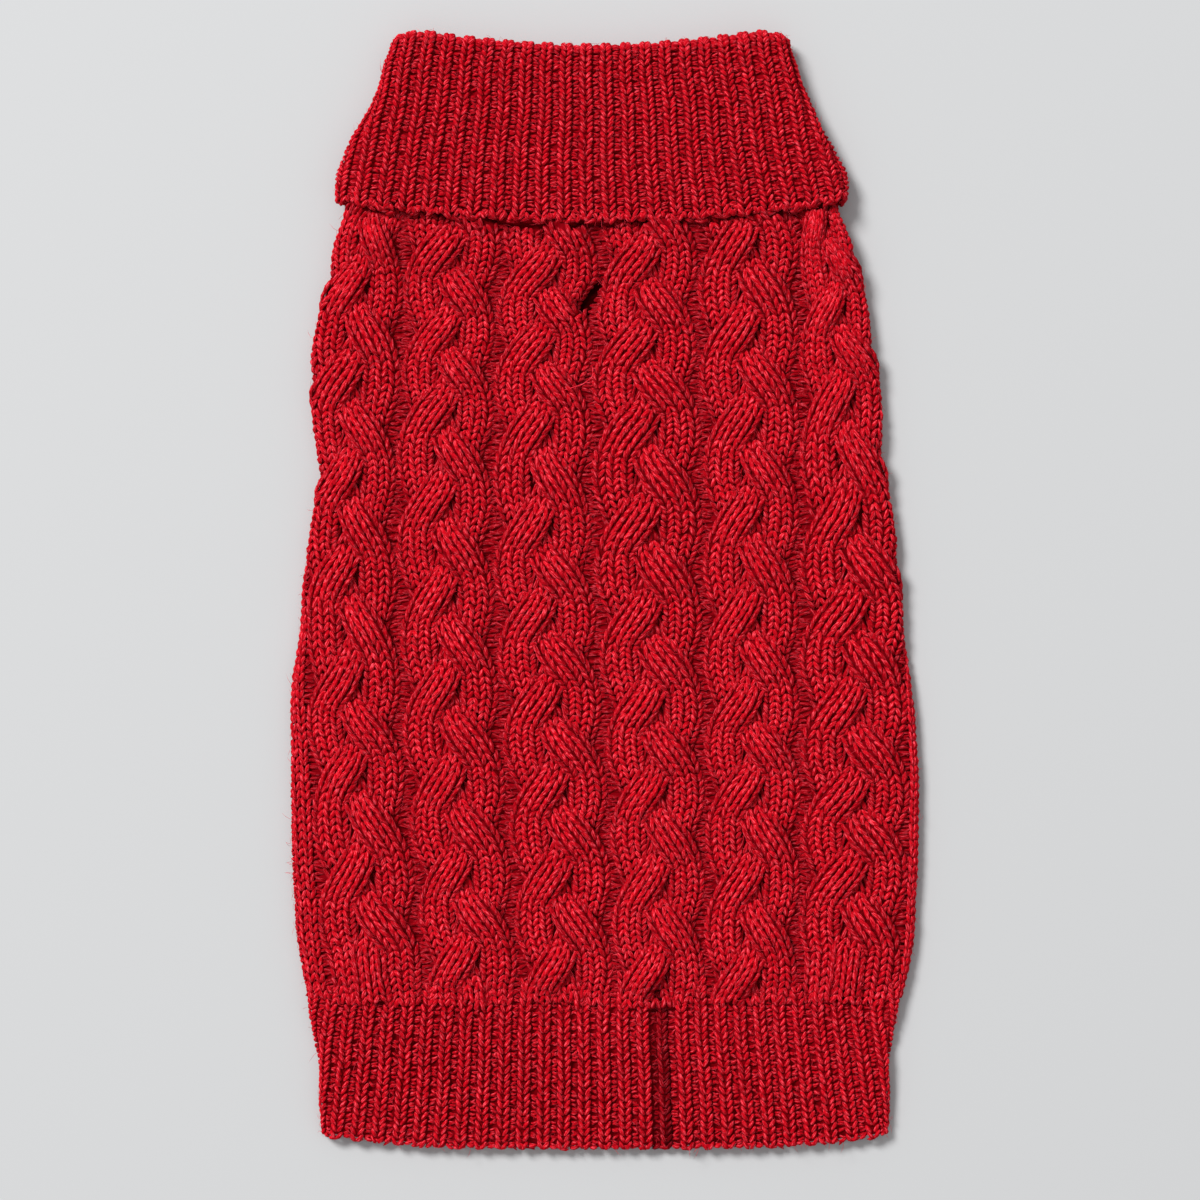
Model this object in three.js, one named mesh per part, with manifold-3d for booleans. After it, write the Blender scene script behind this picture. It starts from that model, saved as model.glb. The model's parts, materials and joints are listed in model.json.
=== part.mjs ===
// Cable-knit dog sweater with a turned-down rib collar, laid flat on a table with its back up.
// Millimetres. +X is across the back, +Y points to the collar, +Z is up, z = 0 is the table.
// Every piece is a knitted wall. Front and back of the tube lie on each other with a small gap.

import * as THREE from 'three';
import { mergeVertices } from 'three/addons/utils/BufferGeometryUtils.js';
import Module from 'manifold-3d';

const wasm = await Module();
wasm.setup();

// Driving sizes.
const wall = 3;                        // knitted cloth
const gap = 0.3;                       // between layers and at seams
const layer = wall + gap;              // one layer of the stack to the next
const edgeRadius = wall + gap / 2;     // outside of a side fold round one layer each way
const cableCrown = 2.6;                // height of a plait over its purl channels
const crownShape = 0.7;                // below 1 the plait is flatter on top

const neckY = 154;                     // seam of collar and body
const hemY = -157;                     // seam of hem band and body
const rampStart = 115;                 // body starts to climb on to the collar's front cuff
const rampEnd = 140;                   // body is level again inside the collar
const crownFadeStart = 122;            // plaits flatten towards the neck seam
const crownFadeEnd = 141;
const crownHemFade = 14;               // and over this length above the hem band

const bodyRowCount = 24;
const hemRowCount = 8;
const foldSteps = 5;                   // facets of a side fold
const cableSteps = 6;                  // facets across one plait

// Outline of the body: its edges, and how far the belly panel reaches on to the top at each side.
const bodyRows = [
  { y: -157, left: -115.0, right: 114.8, leftStrip: 9.0, rightStrip: 3.0 },
  { y: -142, left: -118.0, right: 118.3, leftStrip: 9.6, rightStrip: 3.6 },
  { y: -119, left: -120.2, right: 120.2, leftStrip: 9.6, rightStrip: 3.8 },
  { y: -90, left: -121.5, right: 121.3, leftStrip: 9.0, rightStrip: 3.8 },
  { y: -60, left: -121.3, right: 120.6, leftStrip: 7.4, rightStrip: 3.2 },
  { y: -39, left: -120.6, right: 118.7, leftStrip: 5.4, rightStrip: 2.2 },
  { y: -16, left: -117.1, right: 115.6, leftStrip: 2.8, rightStrip: 0.8 },
  { y: 7, left: -115.6, right: 114.0, leftStrip: 1.0, rightStrip: 0.4 },
  { y: 30, left: -111.4, right: 110.6, leftStrip: 0.4, rightStrip: 0.4 },
  { y: 53, left: -110.2, right: 107.5, leftStrip: 0.4, rightStrip: 0.4 },
  { y: 76, left: -112.9, right: 106.0, leftStrip: 0.4, rightStrip: 0.4 },
  { y: 100, left: -110.6, right: 102.1, leftStrip: 0.4, rightStrip: 0.4 },
  { y: 122, left: -105.2, right: 97.5, leftStrip: 0.4, rightStrip: 0.4 },
  { y: 140, left: -100.8, right: 91.8, leftStrip: 0.4, rightStrip: 0.4 },
  { y: 154, left: -96.5, right: 87.5, leftStrip: 0.4, rightStrip: 0.4 },
];

// Middles of the five purl channels between the six plaits.
const channelRows = [
  { y: -157, c1: -68.7, c2: -32.3, c3: 3.8, c4: 38.8, c5: 73.7 },
  { y: -129, c1: -70.7, c2: -34.2, c3: 3.1, c4: 38.8, c5: 74.9 },
  { y: -76, c1: -76.0, c2: -37.6, c3: 1.5, c4: 38.8, c5: 75.6 },
  { y: -13, c1: -78.3, c2: -41.5, c3: -2.7, c4: 38.0, c5: 74.9 },
  { y: 63, c1: -79.1, c2: -42.2, c3: -4.6, c4: 37.6, c5: 75.3 },
  { y: 102, c1: -76.4, c2: -41.5, c3: -3.8, c4: 35.7, c5: 74.0 },
  { y: 154, c1: -69.0, c2: -37.0, c3: -2.0, c4: 33.0, c5: 63.0 },
];
const channelNames = ['c1', 'c2', 'c3', 'c4', 'c5'];

// Outline of the turned-down cuff, from its lower edge up to the fold.
const collarRows = [
  { y: 144, left: -102.5, right: 93.0 },
  { y: 151, left: -103.3, right: 93.8 },
  { y: 163, left: -100.2, right: 89.9 },
  { y: 174, left: -94.5, right: 84.1 },
  { y: 186, left: -87.9, right: 78.2 },
  { y: 197, left: -84.9, right: 74.3 },
  { y: 206, left: -82.4, right: 71.8 },
  { y: 214, left: -80.3, right: 70.7 },
];
const foldMiddleY = 208.6;             // top of the collar at its middle
const foldCornerRise = 6.4;            // its corners stand higher
const cuffMiddleY = 143.2;             // lower edge of the cuff at its middle
const cuffCornerRise = 5.6;
const standTaper = 2.65;               // the stand is this much narrower a side at the neck seam
const collarSteps = 6;                 // facets down the stand and down the cuff
const collarAcross = 9;                // facets across each face

// Outline of the hem band, from its seam down to its lower edge, with rounded lower corners.
const hemRows = [
  { y: -214.8, left: -99.0, right: 102.0 },
  { y: -213.2, left: -103.6, right: 106.0 },
  { y: -210, left: -107.2, right: 108.6 },
  { y: -204, left: -109.2, right: 109.8 },
  { y: -196, left: -109.8, right: 110.2 },
  { y: -184, left: -110.2, right: 110.4 },
  { y: -172, left: -112.0, right: 111.4 },
  { y: -157, left: -115.0, right: 114.8 },
];
const hemEdgeY = -214.8;
const hemAcross = 22;                  // facets across each face
const hemCrowding = 2.2;               // over 1, rows lie closer near the lower edge
const hemCrease = { x: 22, halfWidth: 3.5, depth: 1.2 };

// Leg openings in the belly panel, each with a rib band inside it, and the leash slit.
const legOpening = { x: 68, y: 66, width: 46, height: 60, corner: 2.6, band: 11, sides: 28 };
const bodyMiddleX = -3.4;
const leashSlit = { x: -4.2, y: 110.5, width: 8, height: 19, corner: 2.0, slant: 0.3, sides: 16 };

const red = 0xb5182a;
const knitRoughness = 0.95;

// Smooth curve through one column of a table whose rows are in order of y.
function columnAt(rows, name, y) {
  const last = rows.length - 2;
  const found = rows.findIndex((row) => row.y > y) - 1;
  const i = found < 0 ? (y <= rows[0].y ? 0 : last) : Math.min(found, last);
  const slope = (k) => {
    const before = rows[Math.max(k - 1, 0)];
    const after = rows[Math.min(k + 1, rows.length - 1)];
    return (after[name] - before[name]) / (after.y - before.y);
  };
  const span = rows[i + 1].y - rows[i].y;
  const f = THREE.MathUtils.clamp((y - rows[i].y) / span, 0, 1);
  const start = rows[i][name];
  const rise = rows[i + 1][name] - start;
  const bend = span * (slope(i) * (1 - f) * (1 - f) * f - slope(i + 1) * f * f * (1 - f));
  return start + rise * f * f * (3 - 2 * f) + bend;
}

// Height of the belly panel's underside: flat on the table, then up on to the front cuff.
function liftAt(y) {
  return layer * THREE.MathUtils.smoothstep(y, rampStart, rampEnd);
}

// Closed body from rings of equal length: ring i joins ring i + 1, and flat caps close the ends,
// for rings that run anticlockwise in x and z. looped rings join the last to the first instead.
function solidFromRings(rings, looped) {
  const size = rings[0].length;
  const positions = rings.flat(2);
  const index = [];
  const ringPairs = looped ? rings.length : rings.length - 1;
  for (let i = 0; i < ringPairs; i += 1) {
    const here = i * size;
    const next = ((i + 1) % rings.length) * size;
    for (let k = 0; k < size; k += 1) {
      const after = (k + 1) % size;
      index.push(here + k, here + after, next + after);
      index.push(here + k, next + after, next + k);
    }
  }
  if (!looped) {
    const flat = (ring) => ring.map((p) => new THREE.Vector2(p[0], p[2]));
    const lastRing = (rings.length - 1) * size;
    for (const [a, b, c] of THREE.ShapeUtils.triangulateShape(flat(rings[0]), [])) {
      index.push(a, c, b);
    }
    for (const [a, b, c] of THREE.ShapeUtils.triangulateShape(flat(rings.at(-1)), [])) {
      index.push(lastRing + a, lastRing + b, lastRing + c);
    }
  }
  const geometry = new THREE.BufferGeometry();
  geometry.setAttribute('position', new THREE.Float32BufferAttribute(positions, 3));
  geometry.setIndex(index);
  return facingOut(geometry);
}

// Turns every face over when the body's volume comes out negative.
function facingOut(geometry) {
  const index = geometry.index.array;
  const point = (k) => new THREE.Vector3().fromBufferAttribute(geometry.attributes.position, k);
  let volume = 0;
  for (let t = 0; t < index.length; t += 3) {
    volume += point(index[t]).dot(point(index[t + 1]).cross(point(index[t + 2])));
  }
  if (volume < 0) {
    for (let t = 0; t < index.length; t += 3) {
      [index[t], index[t + 1]] = [index[t + 1], index[t]];
    }
  }
  return geometry;
}

function toManifold(geometry) {
  const bare = geometry.clone();
  bare.deleteAttribute('normal');
  bare.deleteAttribute('uv');
  const merged = mergeVertices(bare);
  return new wasm.Manifold(new wasm.Mesh({
    numProp: 3,
    vertProperties: new Float32Array(merged.attributes.position.array),
    triVerts: new Uint32Array(merged.index.array),
  }));
}

function fromManifold(solid) {
  const mesh = solid.getMesh();
  const geometry = new THREE.BufferGeometry();
  geometry.setAttribute('position', new THREE.Float32BufferAttribute(mesh.vertProperties, 3));
  geometry.setIndex(Array.from(mesh.triVerts));
  return geometry;
}

// Points of a rounded opening: an ellipse squared off by its corner power, turned by its slant.
function openingPoints({ x, y, width, height, corner, slant = 0, sides }) {
  const squared = (v) => Math.sign(v) * Math.abs(v) ** (2 / corner);
  const points = [];
  for (let k = 0; k < sides; k += 1) {
    const angle = (2 * Math.PI * k) / sides;
    const across = (width / 2) * squared(Math.cos(angle));
    const along = (height / 2) * squared(Math.sin(angle));
    points.push(new THREE.Vector2(x + across + along * slant, y + along));
  }
  return points;
}

// A tall plug with the outline of an opening, to cut it out of a panel.
function openingPlug(opening) {
  const height = 60;
  const plug = new THREE.ExtrudeGeometry(new THREE.Shape(openingPoints(opening)), {
    depth: height,
    bevelEnabled: false,
  });
  plug.translate(0, 0, -height / 2);
  return toManifold(plug);
}

// Quarter turns of a side fold: facets of an arc, as offsets from its centre.
function arc(radius, from, to) {
  const points = [];
  for (let k = 0; k <= foldSteps; k += 1) {
    const angle = THREE.MathUtils.degToRad(from + ((to - from) * k) / foldSteps);
    points.push([radius * Math.cos(angle), radius * Math.sin(angle)]);
  }
  return points;
}

function rowPositions(count, low, high) {
  return Array.from({ length: count + 1 }, (_, k) => low + ((high - low) * k) / count);
}

// One cross-section of the belly panel: flat underneath, folded up and over at both sides.
function bellyRing(y) {
  const low = liftAt(y);
  const left = columnAt(bodyRows, 'left', y) + edgeRadius;
  const right = columnAt(bodyRows, 'right', y) - edgeRadius;
  const leftEnd = left + columnAt(bodyRows, 'leftStrip', y);
  const rightEnd = right - columnAt(bodyRows, 'rightStrip', y);
  const middle = low + edgeRadius;
  const fold = (x, radius, from, to) => arc(radius, from, to).map(([dx, dz]) => [x + dx, y, middle + dz]);
  return [
    [leftEnd, y, middle + edgeRadius],
    ...fold(left, edgeRadius, 90, 270),
    ...fold(right, edgeRadius, -90, 90),
    [rightEnd, y, middle + edgeRadius],
    [rightEnd, y, middle + gap / 2],
    ...fold(right, gap / 2, 90, -90),
    ...fold(left, gap / 2, 270, 90),
    [leftEnd, y, middle + gap / 2],
  ];
}

function bellyPanel() {
  const rings = rowPositions(bodyRowCount, hemY, neckY - gap).map(bellyRing);
  const cloth = toManifold(solidFromRings(rings, false));
  const cut = cloth.subtract(openingPlug(legHole(-1))).subtract(openingPlug(legHole(1)));
  return fromManifold(cut);
}

// The hole in the cloth for one leg, side is -1 or 1.
function legHole(side) {
  const { band, width, height } = legOpening;
  return {
    ...legOpening,
    x: bodyMiddleX + side * legOpening.x,
    width: width + 2 * (band + gap),
    height: height + 2 * (band + gap),
  };
}

function legBand(side) {
  const x = bodyMiddleX + side * legOpening.x;
  const { band, width, height } = legOpening;
  const outside = { ...legOpening, x, width: width + 2 * band, height: height + 2 * band };
  const shape = new THREE.Shape(openingPoints(outside));
  shape.holes.push(new THREE.Path(openingPoints({ ...legOpening, x })));
  return new THREE.ExtrudeGeometry(shape, { depth: wall, bevelEnabled: false });
}

// Places across the back panel at one row: six plaits, each with its height over the channels.
function backColumns(y) {
  const left = columnAt(bodyRows, 'left', y) + edgeRadius + columnAt(bodyRows, 'leftStrip', y) + gap;
  const right = columnAt(bodyRows, 'right', y) - edgeRadius - columnAt(bodyRows, 'rightStrip', y) - gap;
  const bounds = [left, ...channelNames.map((name) => columnAt(channelRows, name, y)), right];
  const crown = cableCrown
    * (1 - THREE.MathUtils.smoothstep(y, crownFadeStart, crownFadeEnd))
    * THREE.MathUtils.smoothstep(y, hemY, hemY + crownHemFade);
  const columns = [];
  for (let cable = 0; cable + 1 < bounds.length; cable += 1) {
    for (let k = 0; k < cableSteps; k += 1) {
      const f = k / cableSteps;
      const x = THREE.MathUtils.lerp(bounds[cable], bounds[cable + 1], f);
      columns.push({ x, rise: crown * Math.sin(Math.PI * f) ** crownShape });
    }
  }
  columns.push({ x: right, rise: 0 });
  return columns;
}

function backPanel() {
  const rings = rowPositions(bodyRowCount, hemY, neckY - gap).map((y) => {
    const low = liftAt(y) + layer;
    const columns = backColumns(y);
    const bottom = columns.map(({ x }) => [x, y, low]);
    const top = columns.map(({ x, rise }) => [x, y, low + wall + rise]).reverse();
    return [...bottom, ...top];
  });
  const cloth = toManifold(solidFromRings(rings, false));
  return fromManifold(cloth.subtract(openingPlug(leashSlit)));
}

// Places round a flattened ring: along the top face, round one side, back underneath, round the
// other side. across runs from -1 to 1, turn is the angle of the outward direction.
function ringPlaces(across) {
  const places = [];
  for (let k = 0; k < across; k += 1) {
    places.push({ across: -1 + (2 * k) / across, turn: 90 });
  }
  for (let k = 0; k < foldSteps; k += 1) {
    places.push({ across: 1, turn: 90 - (180 * k) / foldSteps });
  }
  for (let k = 0; k < across; k += 1) {
    places.push({ across: 1 - (2 * k) / across, turn: -90 });
  }
  for (let k = 0; k < foldSteps; k += 1) {
    places.push({ across: -1, turn: -90 - (180 * k) / foldSteps });
  }
  return places;
}

// The collar's section at one place round the neck: up the stand, over the fold, down the cuff,
// and back inside. out is the distance from the flattened ring's middle line.
function collarSection(across) {
  const cuffOut = edgeRadius + gap;
  const foldOut = edgeRadius + gap / 2;
  const foldY = foldMiddleY + foldCornerRise * across * across - edgeRadius;
  const cuffY = cuffMiddleY + cuffCornerRise * across * across;
  const down = (out, from, to, stand) => rowPositions(collarSteps, from, to).map((y) => ({ out, y, stand }));
  const over = (radius, from, to) => arc(radius, from, to).slice(1, -1).map(([dx, dy]) => (
    { out: foldOut + dx, y: foldY + dy, stand: false }
  ));
  return [
    ...down(gap / 2, neckY, foldY, true),
    ...over(edgeRadius, 180, 0),
    ...down(cuffOut + wall, foldY, cuffY, false),
    ...down(cuffOut, cuffY, foldY, false),
    ...over(gap / 2, 0, 180),
    ...down(edgeRadius, foldY, neckY, true),
  ];
}

function collar() {
  const cuffRadius = edgeRadius + gap + wall;
  const rings = ringPlaces(collarAcross).map(({ across, turn }) => {
    const angle = THREE.MathUtils.degToRad(turn);
    return collarSection(across).map(({ out, y, stand }) => {
      const left = columnAt(collarRows, 'left', y);
      const right = columnAt(collarRows, 'right', y);
      const taper = stand ? (standTaper * (foldMiddleY - y)) / (foldMiddleY - neckY) : 0;
      const reach = (right - left) / 2 - cuffRadius - Math.max(taper, 0);
      const x = (left + right) / 2 + across * reach + out * Math.cos(angle);
      return [x, y, cuffRadius + out * Math.sin(angle)];
    });
  });
  return solidFromRings(rings, true);
}

// The hem band: a flattened ring whose top face has one lengthwise crease.
function hemBand() {
  const heights = rowPositions(hemRowCount, 0, 1).map((f) => (
    THREE.MathUtils.lerp(hemEdgeY, hemY - gap, f ** hemCrowding)
  ));
  const rings = ringPlaces(hemAcross).map(({ across, turn }) => {
    const angle = THREE.MathUtils.degToRad(turn);
    const wallPoint = (out) => (y) => {
      const left = columnAt(hemRows, 'left', y) + edgeRadius;
      const right = columnAt(hemRows, 'right', y) - edgeRadius;
      const x = THREE.MathUtils.lerp(left, right, (across + 1) / 2) + out * Math.cos(angle);
      const outside = turn === 90 && out > gap;
      const nearCrease = Math.exp(-(((x - hemCrease.x) / hemCrease.halfWidth) ** 2));
      const dip = outside ? hemCrease.depth * nearCrease : 0;
      return [x, y, edgeRadius + out * Math.sin(angle) - dip];
    };
    return [...heights.map(wallPoint(edgeRadius)), ...heights.map(wallPoint(gap / 2)).reverse()];
  });
  return solidFromRings(rings, true);
}

const sweater = new THREE.Group();

function addPiece(name, geometry) {
  const material = new THREE.MeshStandardMaterial({ color: red, roughness: knitRoughness, metalness: 0 });
  const piece = new THREE.Mesh(geometry, material);
  piece.name = name;
  sweater.add(piece);
}

addPiece('back_panel', backPanel());
addPiece('belly_panel', bellyPanel());
addPiece('collar', collar());
addPiece('hem_band', hemBand());
addPiece('leg_band_left', legBand(-1));
addPiece('leg_band_right', legBand(1));

// The origin is the middle of the whole sweater on the table.
const box = new THREE.Box3().setFromObject(sweater);
sweater.position.set(-(box.min.x + box.max.x) / 2, -(box.min.y + box.max.y) / 2, -box.min.z);

export default sweater;
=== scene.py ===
# %% [markdown]
# # A cable-knit dog sweater, laid flat
# The sweater is knitted from one soft red yarn: a back with six plaited cables, a ribbed belly
# that wraps round the sides, a ribbed collar turned down, a ribbed hem and two leg bands.
# Knitting could be a bump on smooth cloth, but the plaits are thick and their shadows make the
# look, so every stitch that shows is built here as its own short length of yarn.

# %% The frame
import bpy
import json
import numpy as np
from mathutils import Vector
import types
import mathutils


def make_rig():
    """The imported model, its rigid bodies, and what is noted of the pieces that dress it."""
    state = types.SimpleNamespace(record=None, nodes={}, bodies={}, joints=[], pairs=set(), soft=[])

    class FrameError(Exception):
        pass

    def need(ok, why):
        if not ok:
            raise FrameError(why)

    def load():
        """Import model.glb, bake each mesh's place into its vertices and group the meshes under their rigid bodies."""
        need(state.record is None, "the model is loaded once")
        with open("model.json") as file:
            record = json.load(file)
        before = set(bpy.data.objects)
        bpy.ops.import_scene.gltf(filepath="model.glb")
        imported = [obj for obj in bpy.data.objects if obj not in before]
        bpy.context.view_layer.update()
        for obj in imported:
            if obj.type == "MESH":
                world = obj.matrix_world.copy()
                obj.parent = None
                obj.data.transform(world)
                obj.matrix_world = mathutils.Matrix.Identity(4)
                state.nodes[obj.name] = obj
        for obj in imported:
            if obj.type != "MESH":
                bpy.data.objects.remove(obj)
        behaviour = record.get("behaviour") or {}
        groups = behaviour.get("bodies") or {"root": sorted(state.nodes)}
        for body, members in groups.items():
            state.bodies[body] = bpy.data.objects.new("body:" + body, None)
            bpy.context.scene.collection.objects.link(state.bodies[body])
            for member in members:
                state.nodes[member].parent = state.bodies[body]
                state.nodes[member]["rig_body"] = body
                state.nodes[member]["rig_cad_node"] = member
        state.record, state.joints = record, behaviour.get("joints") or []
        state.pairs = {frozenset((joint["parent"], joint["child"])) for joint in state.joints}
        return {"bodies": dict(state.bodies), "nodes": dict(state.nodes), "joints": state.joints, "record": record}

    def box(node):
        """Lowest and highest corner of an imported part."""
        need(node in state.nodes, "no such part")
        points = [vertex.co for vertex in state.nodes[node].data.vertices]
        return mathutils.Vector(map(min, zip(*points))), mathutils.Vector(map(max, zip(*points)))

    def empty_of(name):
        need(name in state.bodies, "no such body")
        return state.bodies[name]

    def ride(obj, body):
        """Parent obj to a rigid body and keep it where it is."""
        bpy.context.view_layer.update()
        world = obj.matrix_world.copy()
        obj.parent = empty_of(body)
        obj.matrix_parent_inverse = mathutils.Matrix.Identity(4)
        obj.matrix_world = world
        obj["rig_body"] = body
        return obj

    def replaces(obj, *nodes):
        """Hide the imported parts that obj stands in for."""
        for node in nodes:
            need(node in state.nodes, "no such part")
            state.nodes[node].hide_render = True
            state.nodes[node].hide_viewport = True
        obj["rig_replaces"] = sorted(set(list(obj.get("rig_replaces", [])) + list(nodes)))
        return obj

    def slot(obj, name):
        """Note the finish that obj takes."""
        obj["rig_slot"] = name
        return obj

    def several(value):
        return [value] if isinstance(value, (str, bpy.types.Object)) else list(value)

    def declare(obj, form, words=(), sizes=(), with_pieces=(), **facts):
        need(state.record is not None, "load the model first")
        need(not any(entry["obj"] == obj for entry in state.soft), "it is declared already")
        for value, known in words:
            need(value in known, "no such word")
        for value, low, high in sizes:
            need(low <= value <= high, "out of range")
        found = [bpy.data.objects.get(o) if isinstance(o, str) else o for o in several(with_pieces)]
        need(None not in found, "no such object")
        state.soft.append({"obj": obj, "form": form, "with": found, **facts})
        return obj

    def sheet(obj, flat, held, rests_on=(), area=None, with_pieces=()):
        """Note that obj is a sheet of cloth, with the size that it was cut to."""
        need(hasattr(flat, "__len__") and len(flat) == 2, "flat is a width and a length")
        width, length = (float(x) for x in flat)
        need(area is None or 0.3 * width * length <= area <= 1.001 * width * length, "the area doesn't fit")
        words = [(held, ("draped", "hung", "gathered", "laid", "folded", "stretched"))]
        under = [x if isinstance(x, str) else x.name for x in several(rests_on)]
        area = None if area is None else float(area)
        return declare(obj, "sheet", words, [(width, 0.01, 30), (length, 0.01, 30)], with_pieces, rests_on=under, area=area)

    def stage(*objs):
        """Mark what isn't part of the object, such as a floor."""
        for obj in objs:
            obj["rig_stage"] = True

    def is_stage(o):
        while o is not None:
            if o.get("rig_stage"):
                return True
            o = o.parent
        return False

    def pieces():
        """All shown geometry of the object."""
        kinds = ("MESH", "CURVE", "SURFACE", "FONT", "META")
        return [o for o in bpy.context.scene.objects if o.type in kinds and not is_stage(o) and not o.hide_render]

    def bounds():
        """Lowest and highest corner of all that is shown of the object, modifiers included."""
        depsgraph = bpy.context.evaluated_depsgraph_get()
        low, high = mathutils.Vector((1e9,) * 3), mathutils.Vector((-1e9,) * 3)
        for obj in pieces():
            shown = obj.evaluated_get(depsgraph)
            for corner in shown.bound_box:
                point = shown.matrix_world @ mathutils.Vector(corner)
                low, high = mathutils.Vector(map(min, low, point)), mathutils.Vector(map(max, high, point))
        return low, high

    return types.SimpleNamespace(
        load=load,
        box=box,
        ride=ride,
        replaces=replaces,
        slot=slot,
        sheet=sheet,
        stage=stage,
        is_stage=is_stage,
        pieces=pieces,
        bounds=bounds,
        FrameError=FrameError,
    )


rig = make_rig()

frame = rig.load()
cad_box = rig.bounds()
MM = 0.001
dice = np.random.default_rng(11)
print("frame", [round(v / MM, 1) for v in (*cad_box[0], *cad_box[1])])

# %% [markdown]
# ## Outlines
# The solids give the ends of each piece. Their sides are smooth lines through a few widths, and
# those widths are given again here, because the knitting needs them at every row and the solids
# have them only at their own. The body narrows to the neck and to the hem, and is not even.

# %% Widths of the sweater laid flat, in millimetres
def box_of(node):
    low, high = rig.box(node)
    return np.array(low) / MM, np.array(high) / MM


outline = np.array([        # y, left, right: hem and body
    (-203, -109.1, 109.9),
    (-196, -109.7, 110.3),
    (-184, -110.1, 110.5),
    (-172, -111.9, 111.5),
    (-157, -114.9, 114.9),
    (-142, -117.9, 118.4),
    (-119, -120.1, 120.3),
    (-90, -121.3, 121.3),
    (-60, -121.1, 120.7),
    (-39, -120.4, 118.8),
    (-16, -117.0, 115.7),
    (7, -115.4, 114.1),
    (30, -111.3, 110.7),
    (53, -110.1, 107.6),
    (76, -112.7, 106.1),
    (100, -110.4, 102.2),
    (122, -105.1, 97.6),
    (140, -100.7, 91.9),
    (154, -96.4, 87.6),
])
seams = np.array([          # y, then the belly's width on top of the tube, left and right
    (-157, 9.0, 3.0),
    (-142, 9.6, 3.6),
    (-119, 9.6, 3.8),
    (-90, 9.0, 3.8),
    (-60, 7.4, 3.2),
    (-39, 5.4, 2.2),
    (-16, 2.8, 0.8),
    (7, 1.0, 0.4),
    (30, 0.4, 0.4),
])
hem_y = box_of("back_panel")[0][1]
neck_y = box_of("back_panel")[1][1]
hem_edge_y = box_of("hem_band")[0][1]
fold_corner_y = box_of("collar")[1][1]
cuff_edge_y = box_of("collar")[0][1]
print("hem", round(hem_y, 2), "neck", round(neck_y, 2), "turned edge", round(fold_corner_y, 2))


def smooth(value):
    value = np.clip(value, 0, 1)
    return value * value * (3 - 2 * value)


def along_table(table, column, y):
    """A column of a table at any y, eased between its rows."""
    rows = table[:, 0]
    step = np.clip(np.searchsorted(rows, y) - 1, 0, len(rows) - 2)
    slopes = np.gradient(table[:, column], rows)
    span = rows[step + 1] - rows[step]
    part = np.clip((y - rows[step]) / span, 0, 1)
    eased = smooth(part)
    start = table[step, column] + slopes[step] * span * part
    end = table[step + 1, column] - slopes[step + 1] * span * (1 - part)
    return start * (1 - eased) + end * eased


def both_sides(table, y):
    return along_table(table, 1, y), along_table(table, 2, y)


# %% [markdown]
# ## A flattened tube
# The body, hem and collar are tubes pressed flat. A place on such a tube is easiest to give by
# how far it lies round the tube from the middle of the top, because stitches are spaced evenly
# along the cloth and not along the table. `around` turns that distance into x, z and the
# outward direction: straight along the top, round the side fold, back underneath.
# Ribs are spaced the same way, by `round_ribs`, for the hem and the collar.

# %% Places on a flattened tube
TUBE_RADIUS = 3.15      # outside of the body's side folds
CLIMB = 3.3             # one thickness of cloth and its gap
CLIMB_FROM = 115        # y at which the neck begins to rise on the turned-down cuff
CLIMB_LENGTH = 25


def around(distance, reach, radius):
    """x and z from the tube's middle line, and the outward direction, at a distance round it."""
    side = np.where(distance < 0, -1.0, 1.0)
    far = np.abs(distance)
    angle = np.clip((far - reach) / radius, 0, np.pi)
    flat = np.minimum(far, reach) - np.maximum(far - reach - np.pi * radius, 0)
    return side * flat, side * np.sin(angle), np.cos(angle)


def tube_middle(y):
    left, right = both_sides(outline, y)
    return (left + right) / 2, (right - left) / 2 - TUBE_RADIUS


def climb(y):
    """How far the neck end has risen, to lie on the front of the turned-down cuff."""
    return CLIMB * smooth((y - CLIMB_FROM) / CLIMB_LENGTH)


def on_body(distance, y, height):
    """The point at a distance round the body tube, at y along it, height outside its surface."""
    middle, reach = tube_middle(y)
    flat, out_x, out_z = around(distance, reach, TUBE_RADIUS)
    radius = TUBE_RADIUS + height
    z = climb(y) + TUBE_RADIUS + radius * out_z
    return np.stack([middle + flat + radius * out_x, y + 0 * flat, z], -1)


def rib_hump(ribs):
    """1 along the middle of a knit column, 0 along the middle of a purl one."""
    return 0.5 + 0.5 * np.cos(2 * np.pi * ribs)


def round_ribs(share, ribs, pitch, whole):
    """Distance round a tube of whole circumference at a share of its ribs. On top the ribs are a
    pitch apart; those underneath share what is left."""
    quarter = ribs / 4
    place = np.abs(share) * ribs
    rest = (whole / 2 - quarter * pitch) / quarter
    far = np.where(place < quarter, place * pitch, quarter * pitch + (place - quarter) * rest)
    return np.sign(share) * far


print("half width at the hem's join", np.round(tube_middle(hem_y)[1] + TUBE_RADIUS, 1))


# %% [markdown]
# ## Lengths of yarn
# A knit stitch shows as two short fat lengths of yarn that lean together into a V. Curves with a
# bevel would make them, but ten thousand curves are slow and heavy. Instead one function takes
# the middle lines of many lengths at once, as an array, and puts a small closed spindle round
# each: a tip, a few five-sided rings and a tip. The two maps it adds say where a point lies on
# the yarn, for the fibres in the material, and give each spindle a cell of its own for baking.
# First comes the small function that makes any piece from arrays.

# %% Meshes from arrays
RESTING = 0.02              # the yarn under the sweater is pressed flat on the table


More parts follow.
